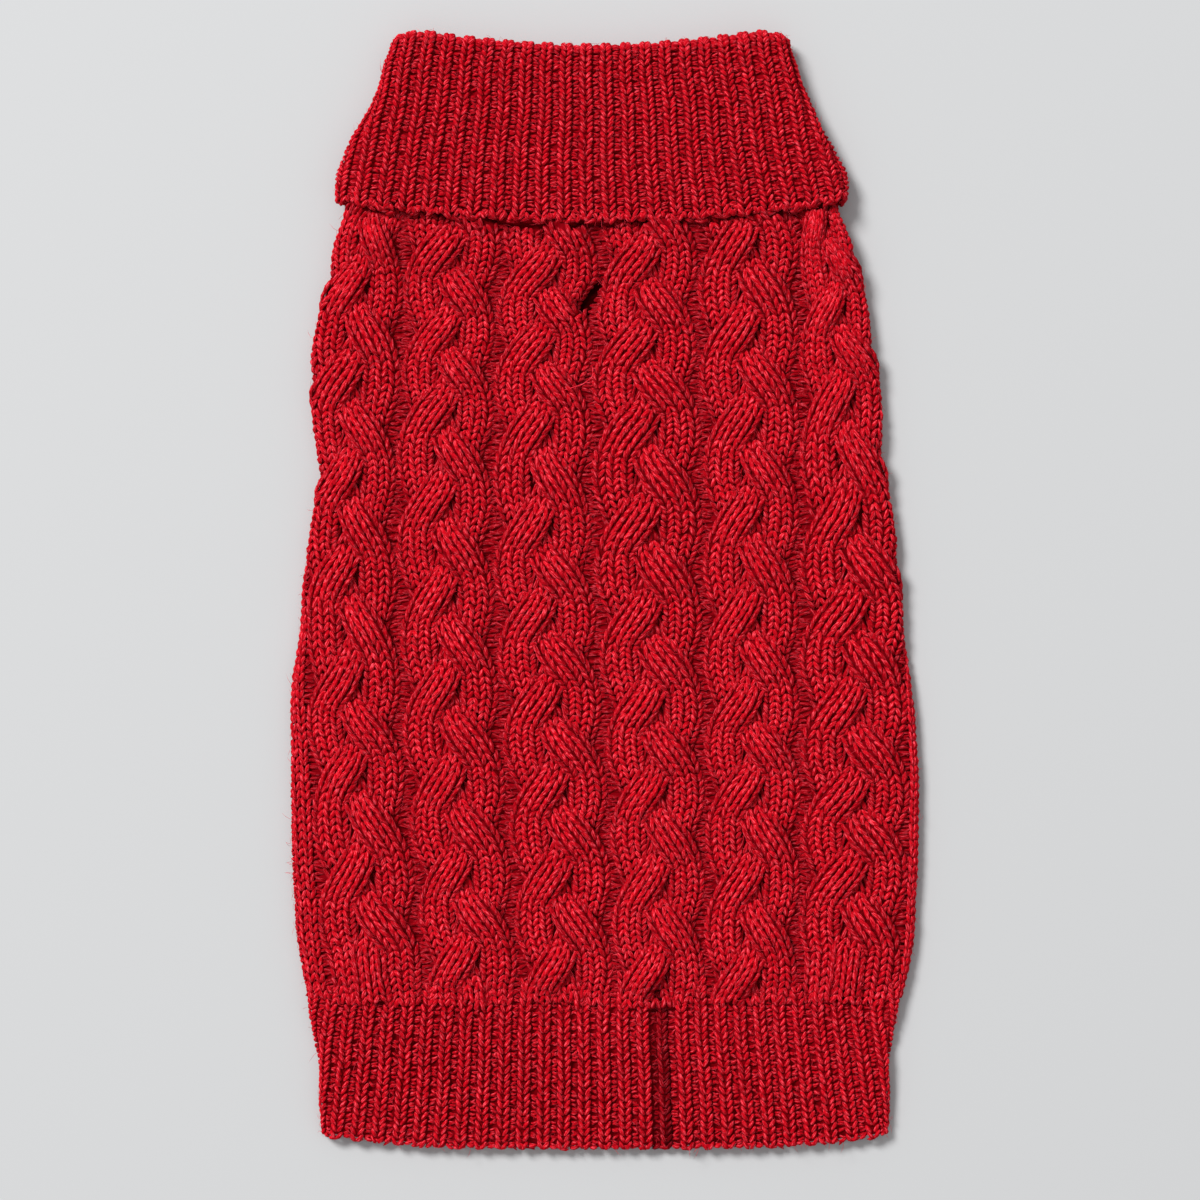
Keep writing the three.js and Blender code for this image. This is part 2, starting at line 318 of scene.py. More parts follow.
def mesh_object(name, points, corners, sizes, maps, material, tones=None):
    """A smooth mesh piece from points in millimetres, face corners, face sizes and corner maps.
    The tones, one for each point, darken its colour there: painted shade, with a little random tone."""
    points[:, 2] = np.maximum(points[:, 2], RESTING)
    mesh = bpy.data.meshes.new(name)
    mesh.vertices.add(len(points))
    mesh.vertices.foreach_set("co", (points * MM).astype(np.float32).ravel())
    mesh.loops.add(len(corners))
    mesh.loops.foreach_set("vertex_index", corners.astype(np.int32))
    mesh.polygons.add(len(sizes))
    mesh.polygons.foreach_set("loop_start", (np.cumsum(sizes) - sizes).astype(np.int32))
    mesh.polygons.foreach_set("use_smooth", np.ones(len(sizes), bool))
    for map_name, places in maps.items():
        layer = mesh.uv_layers.new(name=map_name)
        layer.uv.foreach_set("vector", places.astype(np.float32).ravel())
    if tones is not None:
        mesh.attributes.new("tone", "FLOAT", "POINT").data.foreach_set("value", tones.astype(np.float32))
    mesh.update(calc_edges=True)
    mesh.materials.append(material)
    piece = bpy.data.objects.new(name, mesh)
    bpy.context.scene.collection.objects.link(piece)
    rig.ride(piece, "root")
    return piece


# %% Spindles of yarn
TIP_DIRECTION = np.deg2rad(-90)     # where the first side of a ring faces
CELL_FILL = 0.86                    # of a baking cell's width, so that neighbours don't bleed
CELL_MARGIN = 0.07


def spindle_faces(steps, sides):
    """Faces of one spindle as (corner, side, step) triples: steps points along, tips included."""
    def corner(side, step):
        if step == 0:
            return 0, side, step
        if step == steps - 1:
            return 1 + (steps - 2) * sides, side, step
        return 1 + (step - 1) * sides + side % sides, side, step

    faces = []
    for side in range(sides):
        for step in range(steps - 1):
            near, far = corner(side, step), corner(side, step + 1)
            ring = [near, corner(side + 1, step), corner(side + 1, step + 1), far]
            if step == 0:
                ring = ring[1:]
            if step == steps - 2:
                ring = ring[:-1]
            faces.append(ring)
    return faces


def unit(vectors):
    return vectors / np.maximum(np.linalg.norm(vectors, axis=-1, keepdims=True), 1e-9)


def yarn_lengths(name, lines, outward, radius, tone, material, sides=5, full=0.5, flatten=0.9):
    """One piece of many spindles. lines is (count, steps, 3) in millimetres, outward (count, 3),
    radius and the tone (count,), which darkens the colour as painted shade with a little random variation.
    full sets how quickly a spindle swells from its tips."""
    count, steps, _ = lines.shape
    along = unit(np.gradient(lines, axis=1))
    across = unit(np.cross(along, outward[:, None, :]))
    up = np.cross(across, along)
    swell = np.sin(np.linspace(0, np.pi, steps)) ** full
    rings = []
    for step in range(1, steps - 1):
        size = (radius * swell[step])[:, None]
        for side in range(sides):
            turn = TIP_DIRECTION + 2 * np.pi * (side + 0.5) / sides
            offset = across[:, step] * np.cos(turn) + up[:, step] * np.sin(turn) * flatten
            rings.append(lines[:, step] + offset * size)
    points = np.stack([lines[:, 0], *rings, lines[:, -1]], 1)
    faces = spindle_faces(steps, sides)
    template = np.array([c for face in faces for c in face])
    sizes = np.tile([len(face) for face in faces], count)
    per_spindle = points.shape[1]
    corners = (np.arange(count)[:, None] * per_spindle + template[None, :, 0]).ravel()
    run = np.linalg.norm(np.diff(lines, axis=1), axis=-1).sum(1)
    on_yarn = np.empty((count, len(template), 2))
    on_yarn[..., 0] = template[None, :, 1] * (2 * np.pi * radius / sides)[:, None]
    on_yarn[..., 1] = template[None, :, 2] * (run / (steps - 1))[:, None]
    on_yarn += dice.uniform(0, 400, (count, 1, 2))
    grid = int(np.ceil(np.sqrt(count)))
    cell = np.stack([np.arange(count) % grid, np.arange(count) // grid], -1)[:, None, :]
    inside = np.stack([template[:, 1] / sides, template[:, 2] / (steps - 1)], -1) * CELL_FILL + CELL_MARGIN
    maps = {"yarn": on_yarn.reshape(-1, 2), "OFBake": ((cell + inside[None]) / grid).reshape(-1, 2)}
    tones = np.repeat(tone, per_spindle)
    piece = mesh_object(name, points.reshape(-1, 3), corners, sizes, maps, material, tones)
    print(name, count, "lengths", count * sides * 2 * (steps - 2), "triangles")
    return piece


# %% [markdown]
# ## The cloth under the stitches
# Behind the visible legs of each stitch lies the rest of the loop, which closes the cloth. A thin
# closed slab follows the same surface just below the stitches. It is a grid bent by the same
# functions, and where a hole is wanted its cells are left out and the cut edges walled, which is
# simpler and safer here than a boolean.

# %% Thin slabs with holes
def slab(name, place, first, second, outer, inner, material, keep=None, closed=False, tone=None):
    """A closed sheet between two heights of a surface. place(first, second, height) gives points;
    keep marks the cells that stay; closed joins the last column of first to the first one; the tone
    function gives painted shade that darkens the cloth's colour, 1 where it isn't given."""
    a, b = np.meshgrid(first, second, indexing="ij")
    shape = a.shape
    top = place(a, b, outer(a, b))
    bottom = place(a, b, inner(a, b))
    points = np.vstack([top.reshape(-1, 3), bottom.reshape(-1, 3)])
    number = np.arange(a.size).reshape(shape)
    columns = shape[0] if closed else shape[0] - 1
    cells = np.ones((columns, shape[1] - 1), bool) if keep is None else keep(a, b)[:columns, :shape[1] - 1]
    none_kept = np.zeros(shape[1] - 1, bool)
    faces = []
    for i in range(columns):
        j_kept = np.flatnonzero(cells[i])
        after = (i + 1) % shape[0]
        before_kept = cells[i - 1] if closed or i > 0 else none_kept
        after_kept = cells[(i + 1) % columns] if closed or i + 1 < columns else none_kept
        for j in j_kept:
            p, q, r, s = number[i, j], number[after, j], number[after, j + 1], number[i, j + 1]
            faces.append((p, q, r, s))
            faces.append(tuple(v + a.size for v in (s, r, q, p)))
            if not before_kept[j]:
                faces.append((s, s + a.size, p + a.size, p))
            if not after_kept[j]:
                faces.append((q, q + a.size, r + a.size, r))
            if j == 0 or not cells[i, j - 1]:
                faces.append((p, p + a.size, q + a.size, q))
            if j + 2 == shape[1] or not cells[i, j + 1]:
                faces.append((r, r + a.size, s + a.size, s))
    faces = np.array(faces)
    used, faces = np.unique(faces, return_inverse=True)
    faces = faces.reshape(-1, 4)
    where = np.concatenate([np.stack([a.ravel(), b.ravel()], -1)] * 2)[used]
    on_cloth = where[faces.ravel()]
    cell = (on_cloth - where.min(0)) / np.ptp(where, axis=0)
    maps = {"cloth": on_cloth, "OFBake": cell * 0.98 + 0.01}
    tones = np.ones(len(points)) if tone is None else tone(points)
    sides = np.full(len(faces), 4)
    print(name, len(faces), "faces")
    return mesh_object(name, points[used], faces.ravel(), sides, maps, material, tones[used])


# %% [markdown]
# ## The yarn's finish
# The yarn is a matt, slightly hairy wool blend in a heathered red: deep red fibres with paler
# pinkish ones among them, lying along the yarn with a slow twist. The pale streaks are also a painted
# highlight, spread over all the yarn. A plain red with noise would
# look like plastic foam. The noise is therefore stretched along the yarn through the "yarn" map,
# the plies are a wave that runs round it, and sheen stands for the down of loose fibre ends.

# %% Node helpers
def new_material(name, roughness, sheen, sheen_tint):
    material = bpy.data.materials.new(name)
    material.use_nodes = True
    nodes = material.node_tree.nodes
    shader = nodes["Principled BSDF"]
    shader.inputs["Roughness"].default_value = roughness
    shader.inputs["Specular IOR Level"].default_value = 0.0
    shader.inputs["Sheen Weight"].default_value = sheen
    shader.inputs["Sheen Roughness"].default_value = 0.5
    shader.inputs["Sheen Tint"].default_value = sheen_tint
    return material, nodes, material.node_tree.links, shader


def on_map(nodes, links, map_name, scale):
    """Places on one of the mesh's maps, stretched by scale."""
    place = nodes.new("ShaderNodeUVMap")
    place.uv_map = map_name
    mapping = nodes.new("ShaderNodeMapping")
    mapping.inputs["Scale"].default_value = scale
    links.new(place.outputs["UV"], mapping.inputs["Vector"])
    return mapping.outputs["Vector"]


def stretched_noise(nodes, links, map_name, scale, detail=3.0, roughness=0.6):
    noise = nodes.new("ShaderNodeTexNoise")
    noise.inputs["Scale"].default_value = 1.0
    noise.inputs["Detail"].default_value = detail
    noise.inputs["Roughness"].default_value = roughness
    links.new(on_map(nodes, links, map_name, scale), noise.inputs["Vector"])
    return noise.outputs["Fac"]


def bands(nodes, links, map_name, scale, direction, per_mm, distortion):
    """Soft stripes over one of the mesh's maps."""
    wave = nodes.new("ShaderNodeTexWave")
    wave.bands_direction = direction
    wave.inputs["Scale"].default_value = per_mm
    wave.inputs["Distortion"].default_value = distortion
    links.new(on_map(nodes, links, map_name, scale), wave.inputs["Vector"])
    return wave.outputs["Fac"]


def ramp(nodes, links, value, stops):
    node = nodes.new("ShaderNodeValToRGB")
    node.color_ramp.interpolation = "EASE"
    while len(node.color_ramp.elements) < len(stops):
        node.color_ramp.elements.new(0.5)
    for element, (position, colour) in zip(node.color_ramp.elements, stops):
        element.position = position
        element.color = (*colour, 1)
    links.new(value, node.inputs["Fac"])
    return node.outputs["Color"]


def mix_colour(nodes, links, kind, amount, first, second):
    node = nodes.new("ShaderNodeMix")
    node.data_type = "RGBA"
    node.blend_type = kind
    node.inputs["Factor"].default_value = amount
    links.new(first, node.inputs["A"])
    links.new(second, node.inputs["B"])
    return node.outputs["Result"]


def set_colour(nodes, links, shader, colour):
    """The colour, darkened by the mesh's tone attribute: painted shade, with a little random tone."""
    tone = nodes.new("ShaderNodeAttribute")
    tone.attribute_name = "tone"
    toned = mix_colour(nodes, links, "MULTIPLY", 1.0, colour, tone.outputs["Color"])
    links.new(toned, shader.inputs["Base Color"])


def sum_of(nodes, links, first, first_share, second, second_share):
    parts = []
    for value, share in ((first, first_share), (second, second_share)):
        node = nodes.new("ShaderNodeMath")
        node.operation = "MULTIPLY"
        node.inputs[1].default_value = share
        links.new(value, node.inputs[0])
        parts.append(node.outputs[0])
    total = nodes.new("ShaderNodeMath")
    total.operation = "ADD"
    links.new(parts[0], total.inputs[0])
    links.new(parts[1], total.inputs[1])
    return total.outputs[0]


def add_bump(nodes, links, shader, height, strength, distance):
    bump = nodes.new("ShaderNodeBump")
    bump.inputs["Strength"].default_value = strength
    bump.inputs["Distance"].default_value = distance
    links.new(height, bump.inputs["Height"])
    links.new(bump.outputs["Normal"], shader.inputs["Normal"])


# %% Materials of the yarn and of the cloth behind it
DEEP_RED = (0.27, 0.0010, 0.004)
MAIN_RED = (0.55, 0.004, 0.012)
# Pale pinkish streaks: partly the heathered yarn's paler fibres, partly a painted highlight.
PALE_FIBRE_AND_HIGHLIGHT = (0.97, 0.085, 0.120)
YARN_BUMP = 0.35 * MM
CLOTH_BUMP = 0.8 * MM
UNEVEN_DYE = [(0.25, (0.78, 0.74, 0.76)), (0.75, (1.0, 1.0, 1.0))]


def yarn_material(name, deep=DEEP_RED, main=MAIN_RED, pale=PALE_FIBRE_AND_HIGHLIGHT):
    material, nodes, links, shader = new_material(name, 0.9, 0.06, (1.0, 0.12, 0.18, 1))
    fibres = stretched_noise(nodes, links, "yarn", (2.0, 0.42, 1), detail=3.0, roughness=0.7)
    patches = stretched_noise(nodes, links, "yarn", (0.25, 0.12, 1), detail=2.0)
    streaks = ramp(nodes, links, fibres, [(0.36, deep), (0.47, main), (0.53, main), (0.63, pale)])
    shade = ramp(nodes, links, patches, UNEVEN_DYE)
    set_colour(nodes, links, shader, mix_colour(nodes, links, "MULTIPLY", 1.0, streaks, shade))
    plies = bands(nodes, links, "yarn", (0.55, 0.28, 1), "DIAGONAL", 0.5, 1.2)
    height = sum_of(nodes, links, fibres, 0.8, plies, 0.5)
    add_bump(nodes, links, shader, height, 0.8, YARN_BUMP)
    return material


def cloth_material(name, rows_per_mm, dark, light):
    """The loops behind the stitches, coloured far darker than the yarn as painted shade for the hollows, with faint
    rows.
    """
    material, nodes, links, shader = new_material(name, 0.95, 0.05, (1.0, 0.2, 0.25, 1))
    mottling = stretched_noise(nodes, links, "cloth", (0.9, 0.9, 1), detail=5.0)
    set_colour(nodes, links, shader, ramp(nodes, links, mottling, [(0.35, dark), (0.65, light)]))
    loops = bands(nodes, links, "cloth", (1, 1, 1), "Y", rows_per_mm, 2.0)
    height = sum_of(nodes, links, mottling, 0.6, loops, 0.6)
    add_bump(nodes, links, shader, height, 0.9, CLOTH_BUMP)
    return material


yarn_red = yarn_material("yarn_red")
fibre_red = yarn_material("fibre_red", MAIN_RED, (0.75, 0.03, 0.05), PALE_FIBRE_AND_HIGHLIGHT)
CLOTH_ROWS_PER_MM = 0.08
# Both cloths are the same yarn, coloured far darker as painted shade in the gaps between stitches; the one behind the
# strands is darker still.
cloth_red = cloth_material("cloth_red", CLOTH_ROWS_PER_MM, (0.12, 0.0005, 0.002), (0.27, 0.0016, 0.006))
inner_red = cloth_material("inner_red", CLOTH_ROWS_PER_MM, (0.10, 0.0004, 0.0015), (0.22, 0.0014, 0.005))
print("materials", [material.name for material in bpy.data.materials])


# %% [markdown]
# ## One stitch
# A knit stitch is a V: two legs that start close together low down, lean apart, and end under the
# stitch above. A purl stitch is its back: an arc lying across, with the feet of the next loop
# turned the other way between two of them. Both are given as a few steps of (share of the width,
# share of a row, height), so the same small tables serve every piece.

# %% Stitch tables
knit_leg = np.array([       # across, up, height, from the bottom tip to the top one
    (0.01, -0.30, -0.80),
    (0.13, -0.02, 0.04),
    (0.26, 0.38, 0.30),
    (0.39, 0.78, 0.06),
    (0.48, 1.14, -0.85),
])
purl_arc = np.array([
    (-0.08, 0.20, -0.50),
    (0.16, 0.38, 0.02),
    (0.50, 0.46, 0.20),
    (0.84, 0.38, 0.02),
    (1.08, 0.20, -0.50),
])
PURL_TILT = 0.45            # of a row, from one end of an arc to the other
PURL_MIDDLE = 0.35          # of a row, the height about which an arc is turned over
coarse = [0, 2, 4]          # the steps kept where only the underside would show them


def knit_places(wale, row, steps=slice(None)):
    """Across and up of both legs of each stitch, in wales and rows, and the heights along a leg."""
    leg = knit_leg[steps]
    across = np.concatenate([wale[:, None] + 0.5 - leg[:, 0], wale[:, None] + 0.5 + leg[:, 0]])
    up = np.concatenate([row[:, None] + leg[:, 1]] * 2)
    return across, up, np.tile(leg[:, 2], (len(across), 1))


def purl_places(wale, row, steps=slice(None)):
    """The same for the arcs of purl stitches; every second arc, at half a row, is turned over."""
    arc = purl_arc[steps]
    over = np.where(np.mod(row, 1) > 0.25, -1.0, 1.0)[:, None]
    across = wale[:, None] + arc[:, 0]
    tilt = dice.normal(0, PURL_TILT, (len(row), 1)) * (arc[:, 0] - 0.5)
    up = row[:, None] + PURL_MIDDLE + over * (arc[:, 1] - PURL_MIDDLE) + tilt
    return across, up, np.tile(arc[:, 2], (len(across), 1))


def outward_at(place, a, b, height):
    """The cloth's outward direction at the middle of each line."""
    mid = a.shape[1] // 2
    low = place(a[:, mid], b[:, mid], height[:, mid])
    return unit(place(a[:, mid], b[:, mid], height[:, mid] + 0.2) - low)


def set_down(place, places, depth, radius, wobble=0.06, tone=1.0):
    """Lines, outward directions, radii and tones of stitches, whose places are in place's own
    terms. The tone darkens their colour as painted shade, with a little random variation."""
    across, up, lift = places
    count = len(across)
    up = up + dice.normal(0, wobble, (count, 1))
    across = across + dice.normal(0, wobble * 0.5, (count, 1))
    height = lift + depth + dice.normal(0, 0.07, (count, 1))
    radii = radius * dice.normal(1, 0.05, count)
    tones = tone * dice.normal(1, 0.04, count)
    return place(across, up, height), outward_at(place, across, up, height), radii, tones


def each_stitch(wales, rows):
    """Wale and row of every stitch, row after row."""
    return [v.ravel().astype(float) for v in np.meshgrid(wales, rows)]


def joined(parts):
    return [np.concatenate(values) for values in zip(*parts)]


hair_roots = []             # (lines, outward) of every piece that loose fibres stand out from


def knitting(name, slot, parts, **shape):
    lines, outward, radii, tones = joined(parts)
    hair_roots.append((lines[:, 2 if lines.shape[1] > 3 else 1], outward))
    piece = yarn_lengths(name, lines, outward, radii, tones, yarn_red, **shape)
    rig.slot(piece, slot)
    return piece


# %% [markdown]
# ## The cables of the back
# Each cable is a plait of three strands, and each strand is three columns of knit stitches. Going
# up the back, the left strand crosses in front of the middle one, then the right strand does,
# and so on by turns. Three crossings each way bring a strand back to its place. The rows of this
# table are the heights of the front crossings of each plait, given one by one because no two plaits of
# a hand-knitted back keep quite the same step.

# %% Where the plaits cross, and where the channels between them run
crossings = {               # millimetres along the back, from the hem up
    "plait_1": (-146, -110.5, -70.6, -36.8, 4.7, 41.6, 79.2, 116, 151, 186),
    "plait_2": (-143, -109.4, -75.2, -39.1, -3.0, 33.1, 68.4, 98, 128.7, 160),
    "plait_3": (-146, -111.3, -77.5, -43.7, -10.7, 22.7, 61.1, 92.6, 120.7, 152),
    "plait_4": (-148, -113.2, -78.6, -45.6, -12.2, 24.3, 61.5, 93, 124.9, 157),
    "plait_5": (-150, -113.2, -77.5, -45.6, -10.3, 27.7, 63, 98, 132.2, 165),
    "plait_6": (-146, -110.5, -79.8, -45.6, -10.3, 27, 72.3, 107.2, 139.9, 172),
}
plain_below = {"plait_1": 0.22, "plait_6": 0.22}    # crossings from the hem at which these begin
PLAIN_AT_HEM = -0.28        # the same for the others, which begin with a crossing half done
channels = np.array([       # y, then the middles of the five purl channels
    (-157, -68.7, -32.3, 3.8, 38.8, 73.7),
    (-129, -70.7, -34.2, 3.1, 38.8, 74.9),
    (-76, -76.0, -37.6, 1.5, 38.8, 75.6),
    (-13, -78.3, -41.5, -2.7, 38.0, 74.9),
    (63, -79.1, -42.2, -4.6, 37.6, 75.3),
    (102, -76.4, -41.5, -3.8, 35.7, 74.9),
    (140, -76.0, -38.0, -1.0, 35.7, 73.0),
    (156, -72.0, -36.0, -1.0, 34.0, 68.0),
])
FOLD_BOW = 6.3              # how far the collar's turned edge and cuff edge dip in the middle
ROWS_PER_CROSSING = 12
STRANDS = 3
STRAND_WALES = 3
PURL_SHARE = 0.062          # of a plait's width, at each side
WISP_SHARE = 0.150          # how far the purl loops reach in from each side, under the strands
CROWN = 2.8                 # height of a plait's middle over its channels
SIDE_WRAP = 3.8             # how far the back's edge goes round the side fold where no belly shows


def edge_of_back(number, y):
    """Distance round the tube from the top's middle to channel or seam number 0 to 6."""
    middle, reach = tube_middle(y)
    if 0 < number < 6:
        return along_table(channels, number, y) - middle
    side, column = (-1, 1) if number == 0 else (1, 2)
    strip = along_table(seams, column, y)
    round_the_side = SIDE_WRAP * smooth((2.4 - strip) / 2.0)
    return side * (reach + TUBE_RADIUS - strip + round_the_side)


def strand_path(phase):
    """Place of a strand in the plait, 0 left to 2 right, and how far it is over (+) or under."""
    turn = np.mod(phase + 0.5, STRANDS)
    mirrored = turn >= STRANDS / 2
    part = np.mod(turn, STRANDS / 2) - 0.5
    place = smooth((part + 0.34) / 0.68) + 0.84 * smooth((part - 0.40) / 0.18)
    place = place + 0.22 * smooth((part - 0.52) / 0.48) - 0.06 * smooth(1 - (part + 0.5) / 0.34)
    over = np.cos(np.clip(part / 0.32, -1, 1) * np.pi / 2) ** 1.5
    under = np.cos(np.clip((part - 0.5) / 0.24, -1, 1) * np.pi / 2) ** 1.5
    return np.where(mirrored, 2 - place, place), over - under


def crown_height(share, y):
    """Height of a plait over its channels, lower under the cuff and where the hem joins."""
    fade = smooth((146 - y) / 16) * smooth((y - hem_y + 2) / 13)
    return CROWN * (0.2 + 0.8 * fade) * np.sin(np.pi * np.clip(share, 0, 1)) ** 0.6


print("width of each plait at the hem", [
    round(float(edge_of_back(number + 1, hem_y) - edge_of_back(number, hem_y)), 1) for number in range(6)
])

# %% [markdown]
# ## The leash slit
# A leash passes through a short slanting slit in the middle channel. Its stitches part, turn in and
# go dark with painted shade, and through it one sees the unlit inside, painted dark. Cutting the finished meshes
# would leave cut yarn, so the cloth's own surface is opened here and whole stitches are moved aside and tucked in.

# %% The slit
SLIT_X = -5.7
SLIT_Y = 111.4
SLIT_SLANT = 0.62           # millimetres across for each along
SLIT_HALF_LENGTH = 7.6
SLIT_HALF_WIDTH = 2.1
SLIT_SINK = 1.3
SLIT_TUCK = 0.55            # how far a stitch's end goes down for each millimetre it is pushed


def from_slit(x, y):
    """Distance across from the slit's line, and how near the slit's middle a place is along it."""
    across = x - (SLIT_X + SLIT_SLANT * (y - SLIT_Y))
    return across, np.clip(1 - np.abs(y - SLIT_Y) / SLIT_HALF_LENGTH, 0, 1)


def on_back(distance, y, height):
    """on_body, with the leash slit opened in it and its edges turned in."""
    across, near = from_slit(distance + tube_middle(y)[0], y)
    opened = SLIT_HALF_WIDTH * np.sin(near * np.pi / 2) ** 0.7 * np.exp(-(across / 7.0) ** 2)
    sunk = SLIT_SINK * np.sqrt(near) * np.exp(-(across / 3.2) ** 2)
    return on_body(distance + np.where(across < 0, -opened, opened), y, height - sunk)


def turned_in(lines):
    """The same stitches, kept to their own side of the open slit with their ends tucked in."""
    across, near = from_slit(lines[..., 0], lines[..., 1])
    side = np.where(across[:, across.shape[1] // 2] < 0, -1.0, 1.0)[:, None]
    limit = np.where(near > 0, SLIT_HALF_WIDTH * np.sqrt(near), 0)
    push = np.where(near > 0, np.maximum(limit - side * across, 0), 0)
    moved = lines.copy()
    moved[..., 0] += side * push
    moved[..., 2] -= SLIT_TUCK * np.minimum(push, 4)
    return moved


def by_slit(points):
    """1 on the slit, falling to 0 a few millimetres off it, for the shade there."""
    across, near = from_slit(points[..., 0], points[..., 1])
    return np.exp(-(across / 3.6) ** 2) * np.sqrt(near)


print("slit", round(2 * SLIT_HALF_LENGTH, 1), "long and", round(2 * SLIT_HALF_WIDTH, 1), "wide")

# %% [markdown]
# ## Shade where little light comes
# Under the turned-down cuff the back lies in deep shade, and the hem's crease starts in a small deep
# fold. The lamp alone makes these too pale, because real yarn swallows light between its fibres. The
# stitches there are therefore left out, baring the dark cloth as painted shadow, or darkened with painted shade.

# %% Under the cuff, and the fold at the hem
NOTCH_X = 20.3
NOTCH_Y = -155.0


def under_cuff(x):
    """The y above which the turned-down cuff hides the back and throws its shadow."""
    # The gap below the cuff's edge, where stitches are left out so that the dark cloth shows as painted shadow.
    gap = 2.6 + 2.8 * np.exp(-((x + 19) / 28) ** 2)
    return cuff_edge_y - gap + FOLD_BOW * np.clip(x / 95, -1, 1) ** 2


def notch_shade(points):
    """Painted shade for the short deep fold in which the hem's crease starts, where the hem joins the back."""
    apart = ((points[:, 0] - NOTCH_X) / 2.4) ** 2 + ((points[:, 1] - NOTCH_Y) / 3.6) ** 2
    return 1 - 0.85 * np.exp(-apart)


# %% [markdown]
# ## The stitches of a plait
# A strand is a narrow ribbon of knitting that runs on its own path, rises where it crosses over and
# sinks where it goes under. Its stitches are set down in wales and rows of the ribbon, and
# `on_strand` carries each point to the back. A thin slab closes the ribbon behind the stitches, and
# purl loops reach into the channels at each side.

# %% Where a strand runs
KNIT_RADIUS = 0.92
PURL_RADIUS = 0.72
WISP_DEPTH = -1.50
# Painted shade of the purl loops that lie down in the channels.
WISP_SHADE = 0.62
RISE_OVER = 3.0             # how far a strand rises where it crosses in front
SINK_UNDER = 1.1            # and sinks where it goes behind
STRAND_DEPTH = -0.95
SPREAD_RIGHT = 0.19         # how much wider a strand is where it leans over to the right
SPREAD_LEFT = 0.30
SPREAD_STRAIGHT = 0.26


def y_of_phase(number, phase):
    """The height along the back at which a plait has gone through so many crossings."""
    heights = np.array(crossings[f"plait_{number + 1}"], float)
    below = heights[0] + phase * (heights[1] - heights[0])
    return np.where(phase < 0, below, np.interp(phase, np.arange(len(heights)), heights))


def strand_line(number, strand, phase):
    """Middle of a strand: distance round the tube, y, how far over or under, and a third's width."""
    first_phase = plain_below.get(f"plait_{number + 1}", PLAIN_AT_HEM)
    place, over = strand_path(np.maximum(phase, first_phase) - strand)
    y = y_of_phase(number, phase)
    left, right = edge_of_back(number, y), edge_of_back(number + 1, y)
    share = PURL_SHARE + (place + 0.5) / STRANDS * (1 - 2 * PURL_SHARE)
    return left + (right - left) * share, y, over, (right - left) * (1 - 2 * PURL_SHARE) / STRANDS


def on_strand(number, strand, across, up, lift):
    """Distance, y and height of places on a strand, given in wales and rows, and its over."""
    phase = up / ROWS_PER_CROSSING
    part = np.mod(phase - strand + 0.5, STRANDS / 2) - 0.5
    phase = phase - 0.03 * np.sin(2 * np.pi * (part + 0.5) / (STRANDS / 2))
    x, y, over, strand_width = strand_line(number, strand, phase)
    ahead, ahead_y, _, _ = strand_line(number, strand, phase + 0.02)
    lean = np.arctan2(ahead - x, ahead_y - y) * 0.9
    above = np.maximum(over, 0)
    below = np.maximum(-over, 0)
    straight = smooth(1 - np.abs(np.where(part < 0, part + 0.5, part - 1.0)) / 0.5)
    spread = np.where(lean > 0, SPREAD_RIGHT, SPREAD_LEFT)
    width = strand_width * (1.08 + spread * above - 0.06 * below + SPREAD_STRAIGHT * straight)
    offset = (across / STRAND_WALES - 0.5) * width
    x = x + offset * np.cos(lean)
    y = y - offset * np.sin(lean)
    left, right = edge_of_back(number, y), edge_of_back(number + 1, y)
    height = crown_height((x - left) / (right - left), y) + STRAND_DEPTH + lift
    fall = np.abs(2 * offset / width) ** 2.4
    height = height - (1.1 + 1.6 * above) * fall + RISE_OVER * above - SINK_UNDER * below
    return x, y, height, over, fall


# %% The stitches of one strand, and the cloth behind them
def kept_only(part, kept):
    """Only those stitches of a part that are marked."""
    return tuple(values[kept] for values in part)


def strand_stitches(number, strand, rows):
    wale, row = each_stitch(np.arange(STRAND_WALES), rows)
    across, up, lift = knit_places(wale, row)
    _, over = strand_path(up[:, 2:3] / ROWS_PER_CROSSING - strand)
    above = np.maximum(over, 0)
    leg_line = np.round(2 * across[:, 2:3] - 0.5) / 2 + 0.25
    across = leg_line + (across - leg_line) * (1 - 0.45 * above) + dice.normal(0, 0.02, (len(up), 1))
    up = up[:, 2:3] + (up - up[:, 2:3]) * (1 + 0.35 * above) + dice.normal(0, 0.06, (len(up), 1))
    x, y, height, over, fall = on_strand(number, strand, across, up, lift)
    height = height + dice.normal(0, 0.08, (len(up), 1))
    from_cuff = y[:, 2] - under_cuff(x[:, 2])
    shown = (over[:, 2] > -0.97) & (y[:, 2] > hem_y - 2.5) & (from_cuff < 0)
    # Painted shade: darker where the strand goes under, towards its edges and near the cuff's edge; then a little
    # random tone.
    tones = 1.06 - 0.30 * np.maximum(-over[:, 2], 0) - 0.30 * fall[:, 2] - 0.4 * smooth((from_cuff + 4) / 4)
    tones = tones * dice.normal(1, 0.05, len(up))
    radii = KNIT_RADIUS * (1 + 0.04 * above[:, 0]) * dice.normal(1, 0.05, len(up))
    lines = turned_in(on_back(x, y, height))
    # Painted shade at the slit's turned-in edges and in the hem's notch.
    tones = tones * (1 - 0.55 * by_slit(lines[:, 2])) * notch_shade(lines[:, 2])
    return kept_only((lines, outward_at(on_back, x, y, height), radii, tones), shown)


